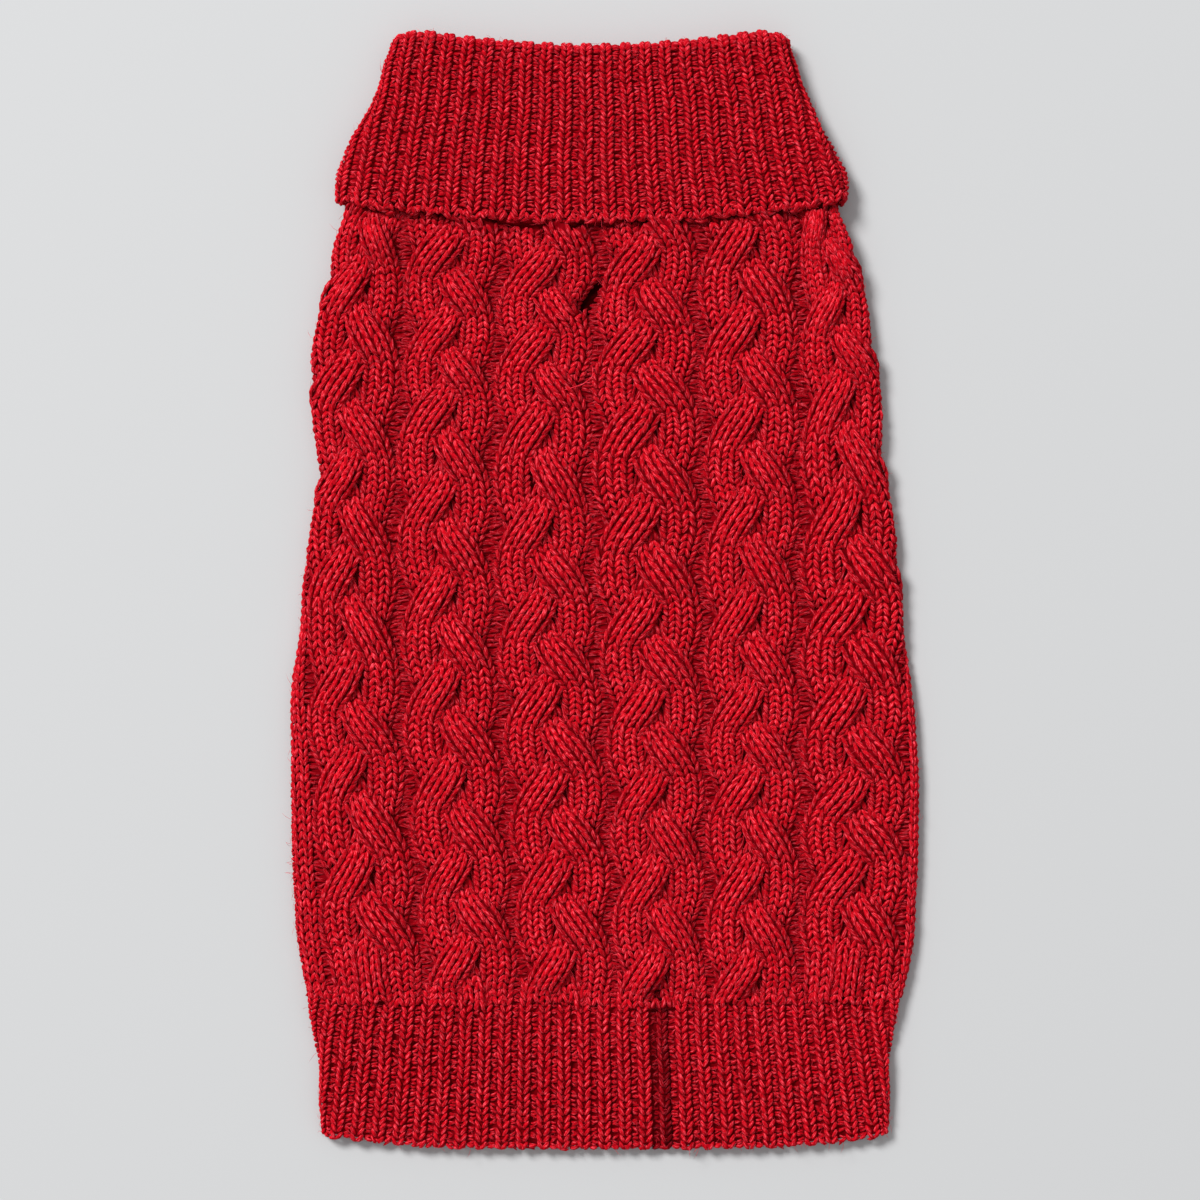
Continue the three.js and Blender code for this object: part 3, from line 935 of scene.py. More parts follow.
def strand_cloth(number, strand, rows):
    """What closes a strand behind its stitches."""
    def place(across, up, lift):
        x, y, height, _, _ = on_strand(number, strand, across, up, lift)
        return on_back(x, y, height)

    def keep(across, up):
        x, y, _, over, _ = on_strand(number, strand, across, up, 0 * up)
        at = place(across, up, 0 * up)
        across_slit, near = from_slit(at[..., 0], at[..., 1])
        clear = (np.abs(across_slit) > SLIT_HALF_WIDTH + 1.6) | (near == 0)
        return (y > hem_y + 1.5) & (y < under_cuff(x) - 3) & (over > -0.45) & clear

    piece = slab(
        f"strand_cloth_{number + 1}_{strand + 1}", place,
        np.linspace(0.15, STRAND_WALES - 0.15, 6), rows[::2].astype(float),
        lambda a, b: 0 * b - 0.30, lambda a, b: 0 * b - 1.1, inner_red, keep=keep,
    )
    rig.slot(piece, "cable_knit")
    return piece


# %% The six plaits
def plait_stitches(number):
    """Middle lines, outward directions, radii and painted-shade tones of all the yarn lengths of one plait."""
    last = ROWS_PER_CROSSING * (len(crossings[f"plait_{number + 1}"]) - 1)
    rows = np.arange(-10, last)
    middle_y = y_of_phase(number, (rows + 0.5) / ROWS_PER_CROSSING)
    rows = rows[(middle_y > hem_y - 6) & (middle_y < neck_y - 1)]
    parts = [strand_stitches(number, strand, rows) for strand in range(STRANDS)]
    strand_cloths.extend(strand_cloth(number, strand, rows) for strand in range(STRANDS))

    def channel_side(across, up, height):
        y = y_of_phase(number, up / ROWS_PER_CROSSING)
        left, right = edge_of_back(number, y), edge_of_back(number + 1, y)
        return on_back(left + (right - left) * across * WISP_SHARE, y, height)

    for side in (0, 1):
        row = np.concatenate([rows, rows + 0.5])
        start = np.full(len(row), side * (1 / WISP_SHARE - 1.0) - 0.22 + 0.44 * side)
        places = purl_places(start, row + 0.25 * side)
        wisps = set_down(channel_side, places, WISP_DEPTH, PURL_RADIUS, 0.13, WISP_SHADE)
        middle = wisps[0][:, 2]
        kept = (middle[:, 1] < under_cuff(middle[:, 0])) & (middle[:, 1] > hem_y)
        lines, outward, radii, tones = kept_only(wisps, kept)
        # Painted shade at the slit as well.
        parts.append((turned_in(lines), outward, radii, tones * (1 - 0.5 * by_slit(lines[:, 2]))))
    return joined(parts)


back_pieces = []
strand_cloths = []
for pair in range(3):
    stitches = [plait_stitches(2 * pair), plait_stitches(2 * pair + 1)]
    back_pieces.append(knitting(f"back_plaits_{pair + 1}", "cable_knit", stitches))

# %% The cloth behind the back's stitches
BACK_COLUMNS = 102
BACK_LINES = 96


def back_ends(y):
    return edge_of_back(0, y), edge_of_back(6, y)


def on_back_share(position, y, height):
    left, right = back_ends(y)
    return on_back(left + (right - left) * position, y, height)


def back_outer(position, y):
    left, right = back_ends(y)
    distance = left + (right - left) * position
    share = np.zeros_like(distance)
    for number in range(6):
        near, far = edge_of_back(number, y), edge_of_back(number + 1, y)
        here = (distance >= near) & (distance <= far)
        share = np.where(here, (distance - near) / (far - near), share)
    return 0.55 * crown_height(share, y) - 2.15


def off_slit(position, y):
    left, right = back_ends(y)
    cell_middle = y + 1.6
    x = left + (right - left) * (position + 0.5 / BACK_COLUMNS) + tube_middle(y)[0]
    across, _ = from_slit(x, cell_middle)
    return ~((np.abs(across) < 2.0) & (np.abs(cell_middle - SLIT_Y) < SLIT_HALF_LENGTH - 1.0))


back_cloth = slab(
    "back_cloth", on_back_share,
    np.linspace(0, 1, BACK_COLUMNS + 1), np.linspace(hem_y, neck_y, BACK_LINES + 1),
    back_outer, lambda p, y: np.minimum(back_outer(p, y) - 0.9, -2.1), cloth_red, keep=off_slit,
)
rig.slot(back_cloth, "cable_knit")
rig.replaces(back_cloth, "back_panel")

# %% [markdown]
# ## The ribbed belly
# The belly is a separate panel in two-by-two rib: two columns of knit, two of purl. It comes round
# both side folds and shows as a narrow ribbed strip beside the cables. Where it lies on the table
# nobody looks closely, so those stitches have fewer rings and the table flattens them. The leg
# openings are rounded rectangles, written as superellipses because one formula gives hole and rim.

# %% Places on the belly, and the leg openings
BELLY_CELLS = 80            # of its cloth, each way
BELLY_WALES = 74
BELLY_ROWS = 97
BELLY_RIB = 4               # wales in one repeat, half of them knit
SHOWN_WALES = 5             # wales at each side that show beside the back
leg_middles = {"left": (-71.25, 65.98), "right": (64.75, 65.98)}
opening_half = np.array([23.0, 30.0])
band_width = 11.0
opening_power = 2.6


def rim(angle, grown):
    """A point of the leg opening's outline, grown outwards by so many millimetres."""
    half_width, half_height = opening_half[0] + grown, opening_half[1] + grown
    cosine, sine = np.cos(angle), np.sin(angle)
    reach = np.abs(cosine / half_width) ** opening_power + np.abs(sine / half_height) ** opening_power
    reach = reach ** (-1 / opening_power)
    return reach * cosine, reach * sine


def belly_distance(position, y):
    left, right = back_ends(y)
    _, reach = tube_middle(y)
    whole = 4 * reach + 2 * np.pi * TUBE_RADIUS
    distance = right + position * (whole + left - right)
    return np.where(distance > whole / 2, distance - whole, distance)


def on_belly_share(position, y, height):
    return on_body(belly_distance(position, y), y, height)


def on_belly(wale, row, height):
    return on_belly_share(wale / BELLY_WALES, hem_y + row * (neck_y - hem_y) / BELLY_ROWS, height)


def clear_of_legs(points, grown=band_width):
    clear = np.ones(points.shape[:-1], bool)
    for middle in leg_middles.values():
        scaled = np.abs((points[..., :2] - middle) / (opening_half + grown)) ** opening_power
        clear &= (scaled.sum(-1) > 1) | (points[..., 2] > 4)
    return clear


# %% Ribbed stitches, and those of the belly
RESTING_DEPTH = -1.05       # of the stitches that lie on the table
PURL_TO_KNIT = 0.76         # how thick purl loops look beside knit legs


def rib_part(place, wales, rows, knit, steps, depth_knit, depth_purl, radius, purl_tone=0.90):
    """Knit and purl stitches of wales and rows, where knit says which wales are knit."""
    wale, row = each_stitch(wales, rows)
    is_knit = knit(wale)
    parts = [set_down(place, knit_places(wale[is_knit], row[is_knit], steps), depth_knit, radius)]
    wale, row = wale[~is_knit], row[~is_knit]
    if steps == slice(None):
        wale, row = np.concatenate([wale, wale]), np.concatenate([row, row + 0.5])
    purl_radius = radius * PURL_TO_KNIT
    # The sunken purl loops are darkened as painted shade.
    parts.append(set_down(place, purl_places(wale, row, steps), depth_purl, purl_radius, 0.2, purl_tone))
    return joined(parts) if steps == slice(None) else parts


def is_belly_knit(wale):
    return np.mod(wale, BELLY_RIB) < 2


shown = np.r_[0:SHOWN_WALES, BELLY_WALES - SHOWN_WALES:BELLY_WALES]
side_part = rib_part(on_belly, shown, np.arange(BELLY_ROWS), is_belly_knit, slice(None), -0.95, -1.6, 0.88)
side_part = kept_only(side_part, clear_of_legs(side_part[0][:, 2]))
belly_sides = knitting("belly_sides", "belly_knit", [side_part])
hidden = np.arange(SHOWN_WALES, BELLY_WALES - SHOWN_WALES)
under = rib_part(on_belly, hidden, np.arange(BELLY_ROWS), is_belly_knit, coarse, RESTING_DEPTH, -1.5, 1.0)
under = joined(under)
under = kept_only(under, clear_of_legs(under[0][:, 1]))
belly_under = knitting("belly_under", "belly_knit", [under], sides=4)


# %% The belly's cloth
UNLIT = 0.12                # tone of what no light reaches


def clear_cell(position, y):
    middle = on_belly_share(position + 0.5 / BELLY_CELLS, y + 1.9, 0 * y - 2.2)
    return clear_of_legs(middle, band_width - 1.5)


def inside_tone(points):
    """Hardly any light reaches the inside of the tube, which shows only through the slit."""
    across, _ = from_slit(points[:, 0], points[:, 1])
    return np.where((np.abs(across) < 14) & (np.abs(points[:, 1] - SLIT_Y) < 16), UNLIT, 1.0)


belly_cloth = slab(
    "belly_cloth", on_belly_share,
    np.linspace(0, 1, BELLY_CELLS + 1), np.linspace(hem_y, neck_y, BELLY_CELLS + 1),
    lambda p, y: 0 * y - 2.0, lambda p, y: 0 * y - 2.9, cloth_red, keep=clear_cell, tone=inside_tone,
)
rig.slot(belly_cloth, "belly_knit")
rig.replaces(belly_cloth, "belly_panel")

# %% [markdown]
# ## The leg bands
# A band of the same rib is picked up round each leg opening. Its ribs run from the belly towards
# the hole. The band lies on the table like the belly, so it is made the same way on a ring.

# %% Leg bands
BAND_RIBS = 44
BAND_ROWS = 4


def is_rib_knit(wale):
    """One-by-one rib: every second wale is knit."""
    return np.mod(wale, 2) < 1


def resting_rib(name, place, wales, rows, purl_depth):
    """Ribbed stitches that lie on the table: fewer rings, four sides."""
    parts = rib_part(place, wales, rows, is_rib_knit, coarse, RESTING_DEPTH, purl_depth, 1.0)
    return knitting(name, "rib_knit", parts, sides=4)


def leg_band(side):
    middle = leg_middles[side]

    def on_band(wale, row, height):
        x, y = rim(wale * np.pi / BAND_RIBS, 0.4 + (band_width - 0.8) * row / BAND_ROWS)
        return np.stack([middle[0] + x, middle[1] + y, -height + 0 * x], -1)

    wales = np.arange(2 * BAND_RIBS)
    band = resting_rib(f"leg_band_{side}_ribs", on_band, wales, np.arange(BAND_ROWS), -1.5)
    cloth = slab(
        f"leg_band_{side}_cloth",
        lambda angle, grown, height: on_band(angle * BAND_RIBS / np.pi, grown, height),
        np.linspace(0, 2 * np.pi, 81)[:-1], np.linspace(0, BAND_ROWS, 7),
        lambda a, b: 0 * b - 1.9, lambda a, b: 0 * b - 2.8, cloth_red, closed=True,
    )
    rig.slot(cloth, "rib_knit")
    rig.replaces(cloth, f"leg_band_{side}")
    return cloth, band


left_band = leg_band("left")
right_band = leg_band("right")

# %% [markdown]
# ## The hem
# The hem is one-by-one rib: a raised column of V stitches, then a sunken purl one. Its ribs lean in
# with the outline and end in small loops along the edge. A crease runs down it a little right of
# the middle, where the cloth was folded: a soft trough in shade, darkest along its right side.

# %% Hem
HEM_RIBS = 60
HEM_ROWS = 22
HEM_PITCH_TOP = 7.45        # rib to rib where the hem joins the body
HEM_PITCH_EDGE = 7.95
KNIT_SHARE = 0.64           # of a rib
CREASE_X = 21.5
CREASE_DRIFT = 1.5          # how far it has moved to the right at the edge
CREASE_DEPTH = 2.4
CREASE_HALF_WIDTH = 3.6
CREASE_LIMIT = 0.75         # of the height over the tube's middle, so that the cloths don't cross
TOP_SHARE = 0.262           # of the way round, each side, that is knitted in full because it shows


def rib_share(wale, knit_share):
    """Place in ribs of a place in wales, where knit and purl wales differ in width."""
    whole = np.floor(wale / 2)
    part = wale - 2 * whole
    return whole + np.where(part < 1, part * knit_share, knit_share + (part - 1) * (1 - knit_share))


def hem_depth(share):
    """Length of the hem at a share of the way round: its lower corners are rounded."""
    to_side = 1 - 4 * np.abs(np.abs(share) - 0.25)
    corner = np.clip((to_side - 0.93) / 0.07, 0, 1) ** 2
    return (hem_y - hem_edge_y) - 7.5 * to_side ** 4 - 4.5 * corner


def beside_crease(x, share_down):
    """Distance across from the crease, at a share of the way from the hem's join to its edge."""
    return x - CREASE_X - CREASE_DRIFT * share_down


def on_hem_share(share, up, height):
    """share is 0 at the top's middle and 0.5 at the bottom's; up is 0 at the edge, 1 at the body."""
    y = hem_y - hem_depth(share) * (1 - up)
    shift, reach = tube_middle(np.maximum(y, hem_edge_y + 12))
    pitch = HEM_PITCH_TOP + (HEM_PITCH_EDGE - HEM_PITCH_TOP) * (1 - up)
    distance = round_ribs(share, HEM_RIBS, pitch, 4 * reach + 2 * np.pi * TUBE_RADIUS)
    flat, out_x, out_z = around(distance, reach, TUBE_RADIUS)
    x = shift + flat + (TUBE_RADIUS + height) * out_x
    from_crease = beside_crease(x, 1 - up)
    trough = CREASE_DEPTH * np.exp(-(from_crease / CREASE_HALF_WIDTH) ** 2) * (out_z > 0)
    trough = np.minimum(trough, CREASE_LIMIT * (TUBE_RADIUS + height))
    x = x - 0.12 * from_crease * np.exp(-(from_crease / 4.5) ** 2) * (out_z > 0)
    return np.stack([x, y + 0 * x, TUBE_RADIUS + (TUBE_RADIUS + height) * out_z - trough], -1)


def on_hem(wale, row, height):
    share = (rib_share(wale, KNIT_SHARE) - KNIT_SHARE / 2) / HEM_RIBS
    share = np.mod(share + 0.5, 1) - 0.5
    edge = np.clip(1 - row / 2.5, 0, 1)
    return on_hem_share(share, row / HEM_ROWS, height - 0.5 * edge ** 2)


def crease_tone(points):
    """The crease is in shade, with a narrow line of deep shade where its right side folds over."""
    from_crease = beside_crease(points[:, 0], (hem_y - points[:, 1]) / (hem_y - hem_edge_y))
    band = 0.40 * np.exp(-(from_crease / 3.1) ** 4)
    right_line = 0.55 * np.exp(-((from_crease - 3.0) / 1.3) ** 2)
    left_line = 0.40 * np.exp(-((from_crease + 3.1) / 1.0) ** 2)
    tone = np.where(points[:, 2] > TUBE_RADIUS, 1 - band - right_line - left_line, 1)
    return np.maximum(tone, 0.08) * notch_shade(points)


def rib_cloth_height(ribs, share):
    """The cloth behind the rib swells under the knit columns and round the side folds."""
    side = np.exp(-((np.abs(share) - 0.25) / 0.018) ** 2)
    return -2.5 + 1.35 * rib_hump(ribs) + 0.5 * side


def facing(wales, ribs, phase, upper):
    share = np.mod((rib_share(wales + 0.5, KNIT_SHARE) - KNIT_SHARE / 2 + phase) / ribs + 0.5, 1) - 0.5
    return wales[(np.abs(share) < TOP_SHARE) == upper]


# %% The hem's stitches and cloth
RING_PURL_DEPTH = -1.8      # of the purl loops underneath the hem and the collar
hem_wales = np.arange(2 * HEM_RIBS).astype(float)
top_wales = facing(hem_wales, HEM_RIBS, 0, True)
hem_rows = np.arange(0, HEM_ROWS + 0.6)
hem_top = rib_part(on_hem, top_wales, hem_rows, is_rib_knit, slice(None), -0.80, -2.0, 0.82)
edge_row = np.full(len(hem_wales), -0.05)
edge_loops = set_down(on_hem, purl_places(hem_wales, edge_row), -1.35, 0.80, 0.15)
knit_tops = top_wales[is_rib_knit(top_wales)]
tops = []
for extra in range(3):      # the knit columns run up into the back by a few rows, not all alike
    going_on = knit_tops[dice.uniform(size=len(knit_tops)) < 0.9 - 0.3 * extra]
    places = knit_places(going_on, np.full(len(going_on), HEM_ROWS + 1.0 + extra))
    tops.append(set_down(on_hem, places, -0.75 + 0.25 * extra, 0.78))
hem_all = joined([hem_top, edge_loops, *tops])
middle = hem_all[0][:, 2]
hem_ribs = knitting("hem_ribs", "rib_knit", [(*hem_all[:3], hem_all[3] * crease_tone(middle))])
under_wales = facing(hem_wales, HEM_RIBS, 0, False)
hem_under = resting_rib("hem_under", on_hem, under_wales, hem_rows, RING_PURL_DEPTH)
hem_cloth = slab(
    "hem_cloth", on_hem_share, np.linspace(-0.5, 0.5, 4 * HEM_RIBS + 1)[:-1], np.linspace(0.02, 1, 13),
    lambda p, y: rib_cloth_height(p * HEM_RIBS, p), lambda p, y: 0 * y - 2.9, cloth_red, closed=True,
    tone=crease_tone,
)
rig.slot(hem_cloth, "rib_knit")
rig.replaces(hem_cloth, "hem_band")

# %% [markdown]
# ## The turned-down collar
# The collar is the same rib, twice as long as it shows, folded outwards over itself. Its ribs run
# over the fold, where each makes a rounded hump, and fan out down to the cuff's bumpy cast-off
# edge. One function bends its surface round the fold, and both stitches and cloth follow it.

# %% The collar's surface
CUFF_RADIUS = 6.45          # outside of the collar's side folds
FOLD_RADIUS = 3.15          # outside of the collar's turned edge
COLLAR_RIBS = 44            # all round
COLLAR_PITCH_FOLD = 7.45
COLLAR_PITCH_EDGE = 8.65
COLLAR_PHASE = -0.22        # of a rib, from the middle of the top to a knit column's middle
GATHERED_AT_FOLD = 0.32     # how much a rib's two knit legs draw together over the turned edge
FOLD_REACH = 4.5            # how far from the turned edge the ribs are shaped by it
CORNER_SHARE = 0.12         # of the half width, over which the corners are rounded
CORNER_LENGTH = 16          # and the same along the cuff
TURNED_CORNER = 1.9         # how far the corners of the turned edge lie lower
CAST_OFF_CORNER = 1.2       # how far those of the cuff's edge lie higher
FANNED_LENGTH = 65          # along the cuff, over which the ribs fan out
cuff_outline = np.array([   # y, left, right
    (144, -102.4, 93.1),
    (151, -103.2, 93.9),
    (163, -100.1, 90.0),
    (174, -94.4, 84.2),
    (186, -87.8, 78.3),
    (197, -84.8, 74.4),
    (206, -82.3, 71.9),
    (214, -80.2, 70.8),
])
collar_middle_z = (box_of("collar")[0][2] + box_of("collar")[1][2]) / 2


def on_collar(share, down, height):
    """share is the part of the way round, 0 at the top's middle and 0.5 at the bottom's;
    down is the distance from the turned edge along the cuff, negative on the inner side."""
    quarter = FOLD_RADIUS * np.pi / 2
    ribs = share * COLLAR_RIBS - COLLAR_PHASE
    hump = rib_hump(ribs)
    at_fold = np.exp(-(down / FOLD_REACH) ** 2)
    share = share - GATHERED_AT_FOLD * at_fold * np.sin(2 * np.pi * ribs) / (2 * np.pi * COLLAR_RIBS)
    height = height + at_fold * (0.45 * hump + 0.80 * (1 - hump)) * np.clip(-height - 0.3, 0, 1)
    bend = np.clip(down / FOLD_RADIUS, -np.pi / 2, np.pi / 2)
    flat_run = np.maximum(down - quarter, 0) + np.maximum(-down - quarter, 0)
    radius = FOLD_RADIUS + height
    out = CUFF_RADIUS - FOLD_RADIUS + radius * np.sin(bend)
    below_fold = FOLD_RADIUS - radius * np.cos(bend) + flat_run
    rough_y = fold_corner_y - 3 - below_fold
    left, right = both_sides(cuff_outline, rough_y)
    reach = (right - left) / 2 - CUFF_RADIUS + 0.3
    fanned = np.clip(below_fold / FANNED_LENGTH, 0, 1)
    pitch = COLLAR_PITCH_FOLD + (COLLAR_PITCH_EDGE - COLLAR_PITCH_FOLD) * fanned
    whole = 4 * reach + 2 * np.pi * CUFF_RADIUS
    flat, out_x, out_z = around(round_ribs(share, COLLAR_RIBS, pitch, whole), reach, CUFF_RADIUS)
    across = np.clip(flat / reach, -1, 1)
    corner = np.clip((np.abs(across) - 1) / CORNER_SHARE + 1, 0, 1) ** 2 + 0.6 * np.abs(out_x) ** 2
    y = fold_corner_y - FOLD_BOW * (1 - across ** 2) - below_fold
    y = y - TURNED_CORNER * corner * smooth(1 - below_fold / CORNER_LENGTH)
    y = y + CAST_OFF_CORNER * corner * smooth((below_fold - 50) / CORNER_LENGTH)
    return np.stack([(left + right) / 2 + flat + out * out_x, y, collar_middle_z + out * out_z], -1)


# %% The collar's stitches and cloth
CUFF_ROWS = 32
EDGE_BUMP = 0.9             # how far the knit columns reach beyond the purl ones at the cast-off edge
INSIDE_ROWS = 6             # rows carried over the fold to the inner side
cuff_run = (fold_corner_y - cuff_edge_y - FOLD_BOW - FOLD_RADIUS) + FOLD_RADIUS * np.pi / 2
row_step = cuff_run / CUFF_ROWS


def on_collar_rows(wale, row, height):
    """Rows count upwards from the cuff's edge, so that the stitches point down."""
    share = (rib_share(wale, KNIT_SHARE) - KNIT_SHARE / 2 + COLLAR_PHASE) / COLLAR_RIBS
    share = np.mod(share + 0.5, 1) - 0.5
    edge = np.clip(1 - row / 3, 0, 1)
    drop = EDGE_BUMP * rib_hump(share * COLLAR_RIBS - COLLAR_PHASE) * edge
    return on_collar(share, cuff_run - row * row_step + drop, height + 0.35 * edge)


collar_wales = np.arange(2 * COLLAR_RIBS).astype(float)
collar_rows = np.arange(0, CUFF_ROWS + INSIDE_ROWS)
top_wales = facing(collar_wales, COLLAR_RIBS, COLLAR_PHASE, True)
cuff_top = rib_part(on_collar_rows, top_wales, collar_rows, is_rib_knit, slice(None), -0.75, -2.0, 0.75)
first_row = np.zeros(len(collar_wales))
# The two lower rows of loops at the cast-off edge are darkened as painted shade.
edges = [
    set_down(on_collar_rows, knit_places(collar_wales, first_row - 0.85), -1.15, 0.90, 0.22),
    set_down(on_collar_rows, purl_places(collar_wales + 0.5, first_row - 0.9), -1.65, 0.90, 0.3, 0.9),
    set_down(on_collar_rows, purl_places(collar_wales, first_row - 1.1), -2.3, 0.95, 0.45, 0.75),
]
middle = cuff_top[0][:, 2]
fold_line = fold_corner_y - FOLD_BOW * (1 - (middle[:, 0] / 85) ** 2)
swollen = 1 + 0.75 * smooth((middle[:, 1] - fold_line + 4.5) / 3)
cuff_top = (cuff_top[0], cuff_top[1], cuff_top[2] * swollen, cuff_top[3])
collar_ribs = knitting("collar_ribs", "rib_knit", [cuff_top, *edges])
under_wales = facing(collar_wales, COLLAR_RIBS, COLLAR_PHASE, False)
collar_under = resting_rib("collar_under", on_collar_rows, under_wales, collar_rows, RING_PURL_DEPTH)
collar_cloth = slab(
    "collar_cloth", on_collar, np.linspace(-0.5, 0.5, 4 * COLLAR_RIBS + 1)[:-1],
    np.linspace(-cuff_run + 3, cuff_run - 0.3, 37),
    lambda p, y: rib_cloth_height(p * COLLAR_RIBS - COLLAR_PHASE, p), lambda p, y: 0 * y - 2.85, cloth_red,
    closed=True,
)
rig.slot(collar_cloth, "rib_knit")
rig.replaces(collar_cloth, "collar")

# %% [markdown]
# ## Loose fibres and a loose thread
# The yarn is a little hairy: fine fibres stand out from it everywhere and blur the outline. Each is
# a three-sided spindle far thinner than the yarn, bent by chance. Blender's hair would do, but
# it doesn't leave the file as a mesh. Near the leash slit one thread has come loose and lies on top.

# %% Fibres
HAIRS = 6000
HAIR_RADIUS = 0.065


def loose_fibres(name, roots, outward, count):
    chosen = dice.integers(0, len(roots), count)
    start, out = roots[chosen], outward[chosen]
    along = unit(np.cross(out, unit(dice.normal(size=(count, 3)))))
    turn = unit(np.cross(out, along))
    reach = dice.uniform(1.6, 4.6, (count, 1))
    rise = dice.uniform(0.25, 1.0, (count, 1))
    curl = dice.normal(0, 0.5, (count, 1))
    share = np.linspace(0, 1, 4)[None, :, None]
    way = along * reach
    lines = start[:, None] + way[:, None] * share + (turn * reach * curl)[:, None] * share ** 2
    lines = lines + (out * rise * 1.5)[:, None] * (0.45 + share * (1.2 - 0.7 * share))
    radii = np.full(count, HAIR_RADIUS)
    return yarn_lengths(name, lines, out, radii, np.ones(count), fibre_red, sides=3, full=0.3)


roots = np.concatenate([part[0] for part in hair_roots])
outward = np.concatenate([part[1] for part in hair_roots])
seen = outward[:, 2] > -0.3
fibres = loose_fibres("loose_fibres", roots[seen], outward[seen], HAIRS)
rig.slot(fibres, "cable_knit")

loose_thread = np.array([    # x, y, height over the plaits, in millimetres
    (-4.6, 86.0, 5.6),
    (-4.3, 82.8, 8.6),
    (-6.1, 79.8, 9.6),
    (-11.6, 77.2, 10.3),
    (-17.8, 76.0, 9.9),
    (-21.0, 76.6, 8.8),
])
parts_of_way = np.linspace(0, len(loose_thread) - 1, 22)
table = np.column_stack([np.arange(len(loose_thread)), loose_thread])
line = np.stack([along_table(table, column, parts_of_way) for column in (1, 2, 3)], -1)
thread = yarn_lengths(
    "loose_thread", line[None], np.array([[0, 0, 1.0]]), np.array([0.20]), np.ones(1), fibre_red, full=0.2,
)
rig.slot(thread, "cable_knit")

# %% [markdown]
# ## What is cloth
# Each slab is a sheet of cloth, and the stitches on it go with it. The cut is given flat: the
# pieces are knitted to shape, so their area is less than width times length.

# %% Sheets
def flat_area(widths, lengths):
    return float(np.trapz(widths, lengths)) * MM * MM


heights = np.linspace(hem_y, neck_y, 40)
back_widths = back_ends(heights)[1] - back_ends(heights)[0]
tube_wholes = 4 * tube_middle(heights)[1] + 2 * np.pi * TUBE_RADIUS
belly_widths = tube_wholes - back_widths
ROUNDED = 0.89              # of its box, the area of a leg opening's outline
opening_area = 2 * ROUNDED * 4 * (opening_half + band_width).prod()
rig.sheet(
    back_cloth, flat=(back_widths.max() * MM, (neck_y - hem_y) * MM), held="laid",
    area=flat_area(back_widths, heights), rests_on=[belly_cloth],
    with_pieces=[*back_pieces, *strand_cloths, fibres, thread],
)
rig.sheet(
    belly_cloth, flat=(belly_widths.max() * MM, (neck_y - hem_y) * MM), held="laid",
    area=flat_area(belly_widths, heights) - opening_area * MM * MM, rests_on=["table"],
    with_pieces=[belly_sides, belly_under],
)
hem_length = hem_y - hem_edge_y
HEM_HALF_WIDTH = 110.0
hem_around = 4 * (HEM_HALF_WIDTH - TUBE_RADIUS) + 2 * np.pi * TUBE_RADIUS
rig.sheet(
    hem_cloth, flat=(hem_around * MM, hem_length * MM), held="laid", rests_on=["table"],
    with_pieces=[hem_ribs, hem_under],
)
COLLAR_HALF_WIDTH = 89.0
collar_around = 4 * (COLLAR_HALF_WIDTH - CUFF_RADIUS) + 2 * np.pi * CUFF_RADIUS
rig.sheet(
    collar_cloth, flat=(collar_around * MM, (2 * cuff_run - 3) * MM), held="folded", rests_on=[back_cloth],
    with_pieces=[collar_ribs, collar_under],
)
band_area = ROUNDED * 4 * ((opening_half + band_width).prod() - opening_half.prod())
for cloth, ribs in (left_band, right_band):
    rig.sheet(
        cloth, flat=(band_area / band_width * MM, band_width * MM), held="laid", rests_on=["table"],
        with_pieces=[ribs],
    )
print("back", round(flat_area(back_widths, heights), 4), "belly with its openings",
      round(flat_area(belly_widths, heights), 4), "square metres")

# %% [markdown]
# ## Camera, floor and light
# The sweater was laid on a plain pale table and seen from straight above in soft light from the
# upper left. A long lens keeps the outline square. One large area light gives the soft shadows
# between the plaits and along the right and lower edges, and a pale world fills them.

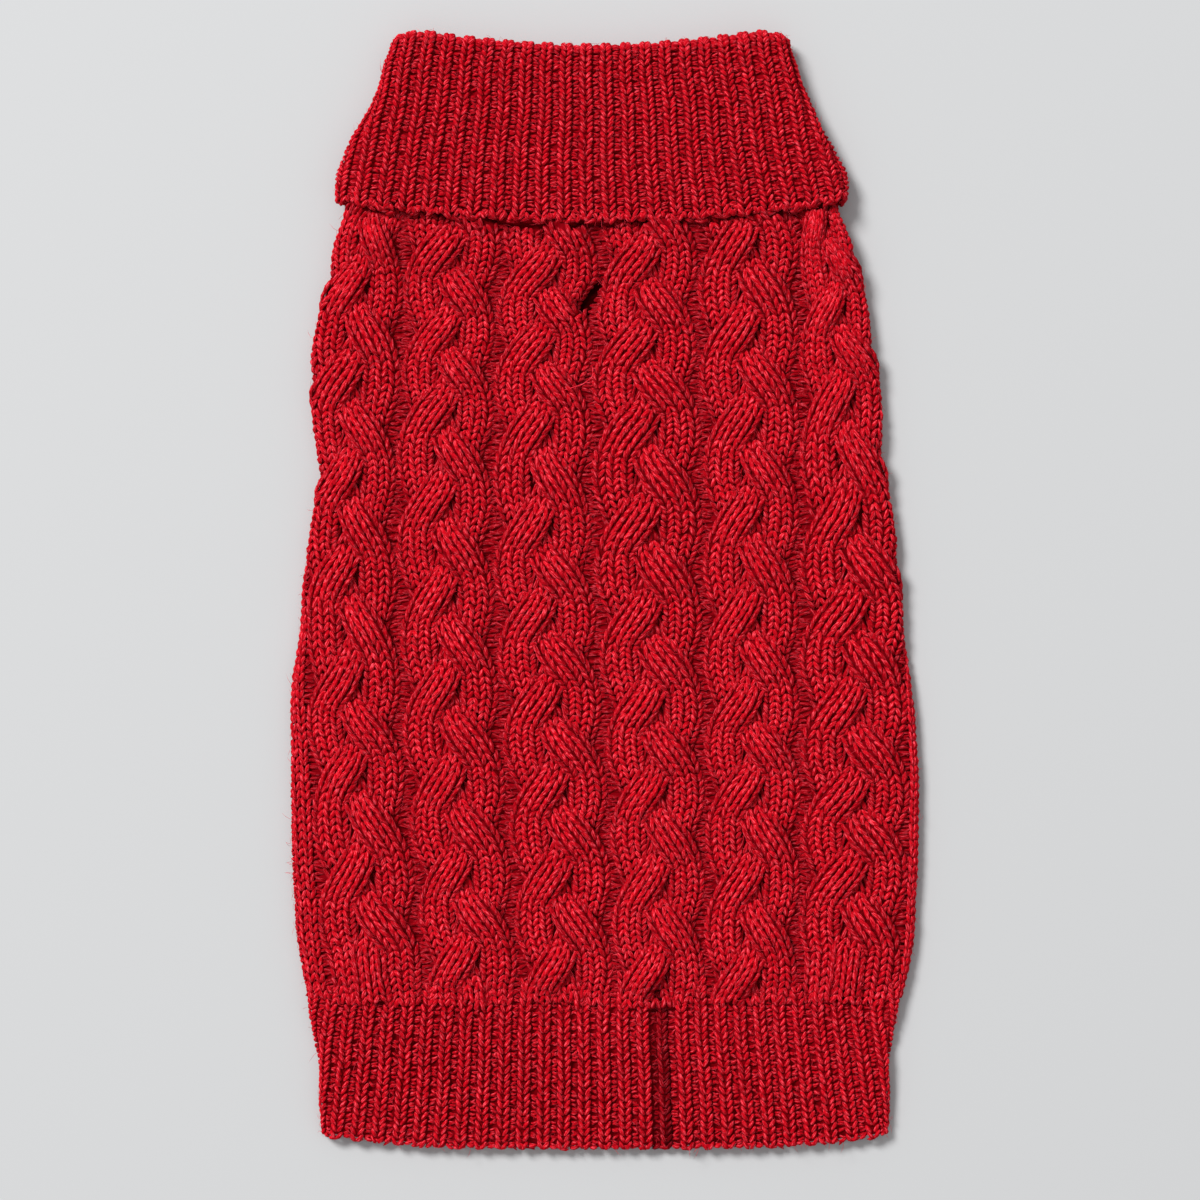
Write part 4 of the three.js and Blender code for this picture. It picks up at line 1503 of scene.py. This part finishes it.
# %% Camera and light
VIEW_WIDTH = 0.4608         # metres of table across the view
LENS = 100.0
SENSOR = 36.0
camera_data = bpy.data.cameras.new("camera")
camera_data.lens = LENS
camera_data.sensor_width = SENSOR
camera = bpy.data.objects.new("camera", camera_data)
camera.location = (-0.0014, -0.0042, VIEW_WIDTH * LENS / SENSOR + 0.006)
bpy.context.scene.collection.objects.link(camera)
bpy.context.scene.camera = camera
bpy.context.scene.view_settings.view_transform = "Standard"


def area_light(name, location, target, size, power, colour):
    data = bpy.data.lights.new(name, "AREA")
    data.shape = "DISK"
    data.size = size
    data.energy = power
    data.color = colour
    light = bpy.data.objects.new(name, data)
    light.location = location
    aim = np.array(target) - np.array(location)
    light.rotation_euler = Vector(aim).to_track_quat("-Z", "Y").to_euler()
    bpy.context.scene.collection.objects.link(light)


area_light("window", (-3.5, 3.7, 4.9), (0, 0, 0), 2.5, 610.0, (1.0, 1.0, 1.0))
world = bpy.data.worlds.new("room")
world.use_nodes = True
world.node_tree.nodes["Background"].inputs["Color"].default_value = (0.985, 0.99, 1.0, 1)
world.node_tree.nodes["Background"].inputs["Strength"].default_value = 0.52
bpy.context.scene.world = world

floor_mesh = bpy.data.meshes.new("table")
half = 3.0
corners = [(-half, -half, 0), (half, -half, 0), (half, half, 0), (-half, half, 0)]
floor_mesh.from_pydata(corners, [], [(0, 1, 2, 3)])
floor = bpy.data.objects.new("table_top", floor_mesh)
bpy.context.scene.collection.objects.link(floor)
floor_material, _, _, floor_shader = new_material("pale_table", 0.9, 0.0, (1, 1, 1, 1))
floor_shader.inputs["Base Color"].default_value = (0.515, 0.519, 0.523, 1)
floor_mesh.materials.append(floor_material)
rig.stage(floor)

# %% The last measure
visual_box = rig.bounds()
with open("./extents.json", "w") as out:
    json.dump({"cad": [list(v) for v in cad_box], "visual": [list(v) for v in visual_box]}, out)
triangles = [sum(len(face.vertices) - 2 for face in piece.data.polygons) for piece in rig.pieces()]
print("size", [round(v / MM, 1) for v in (*visual_box[0], *visual_box[1])], "triangles", sum(triangles))
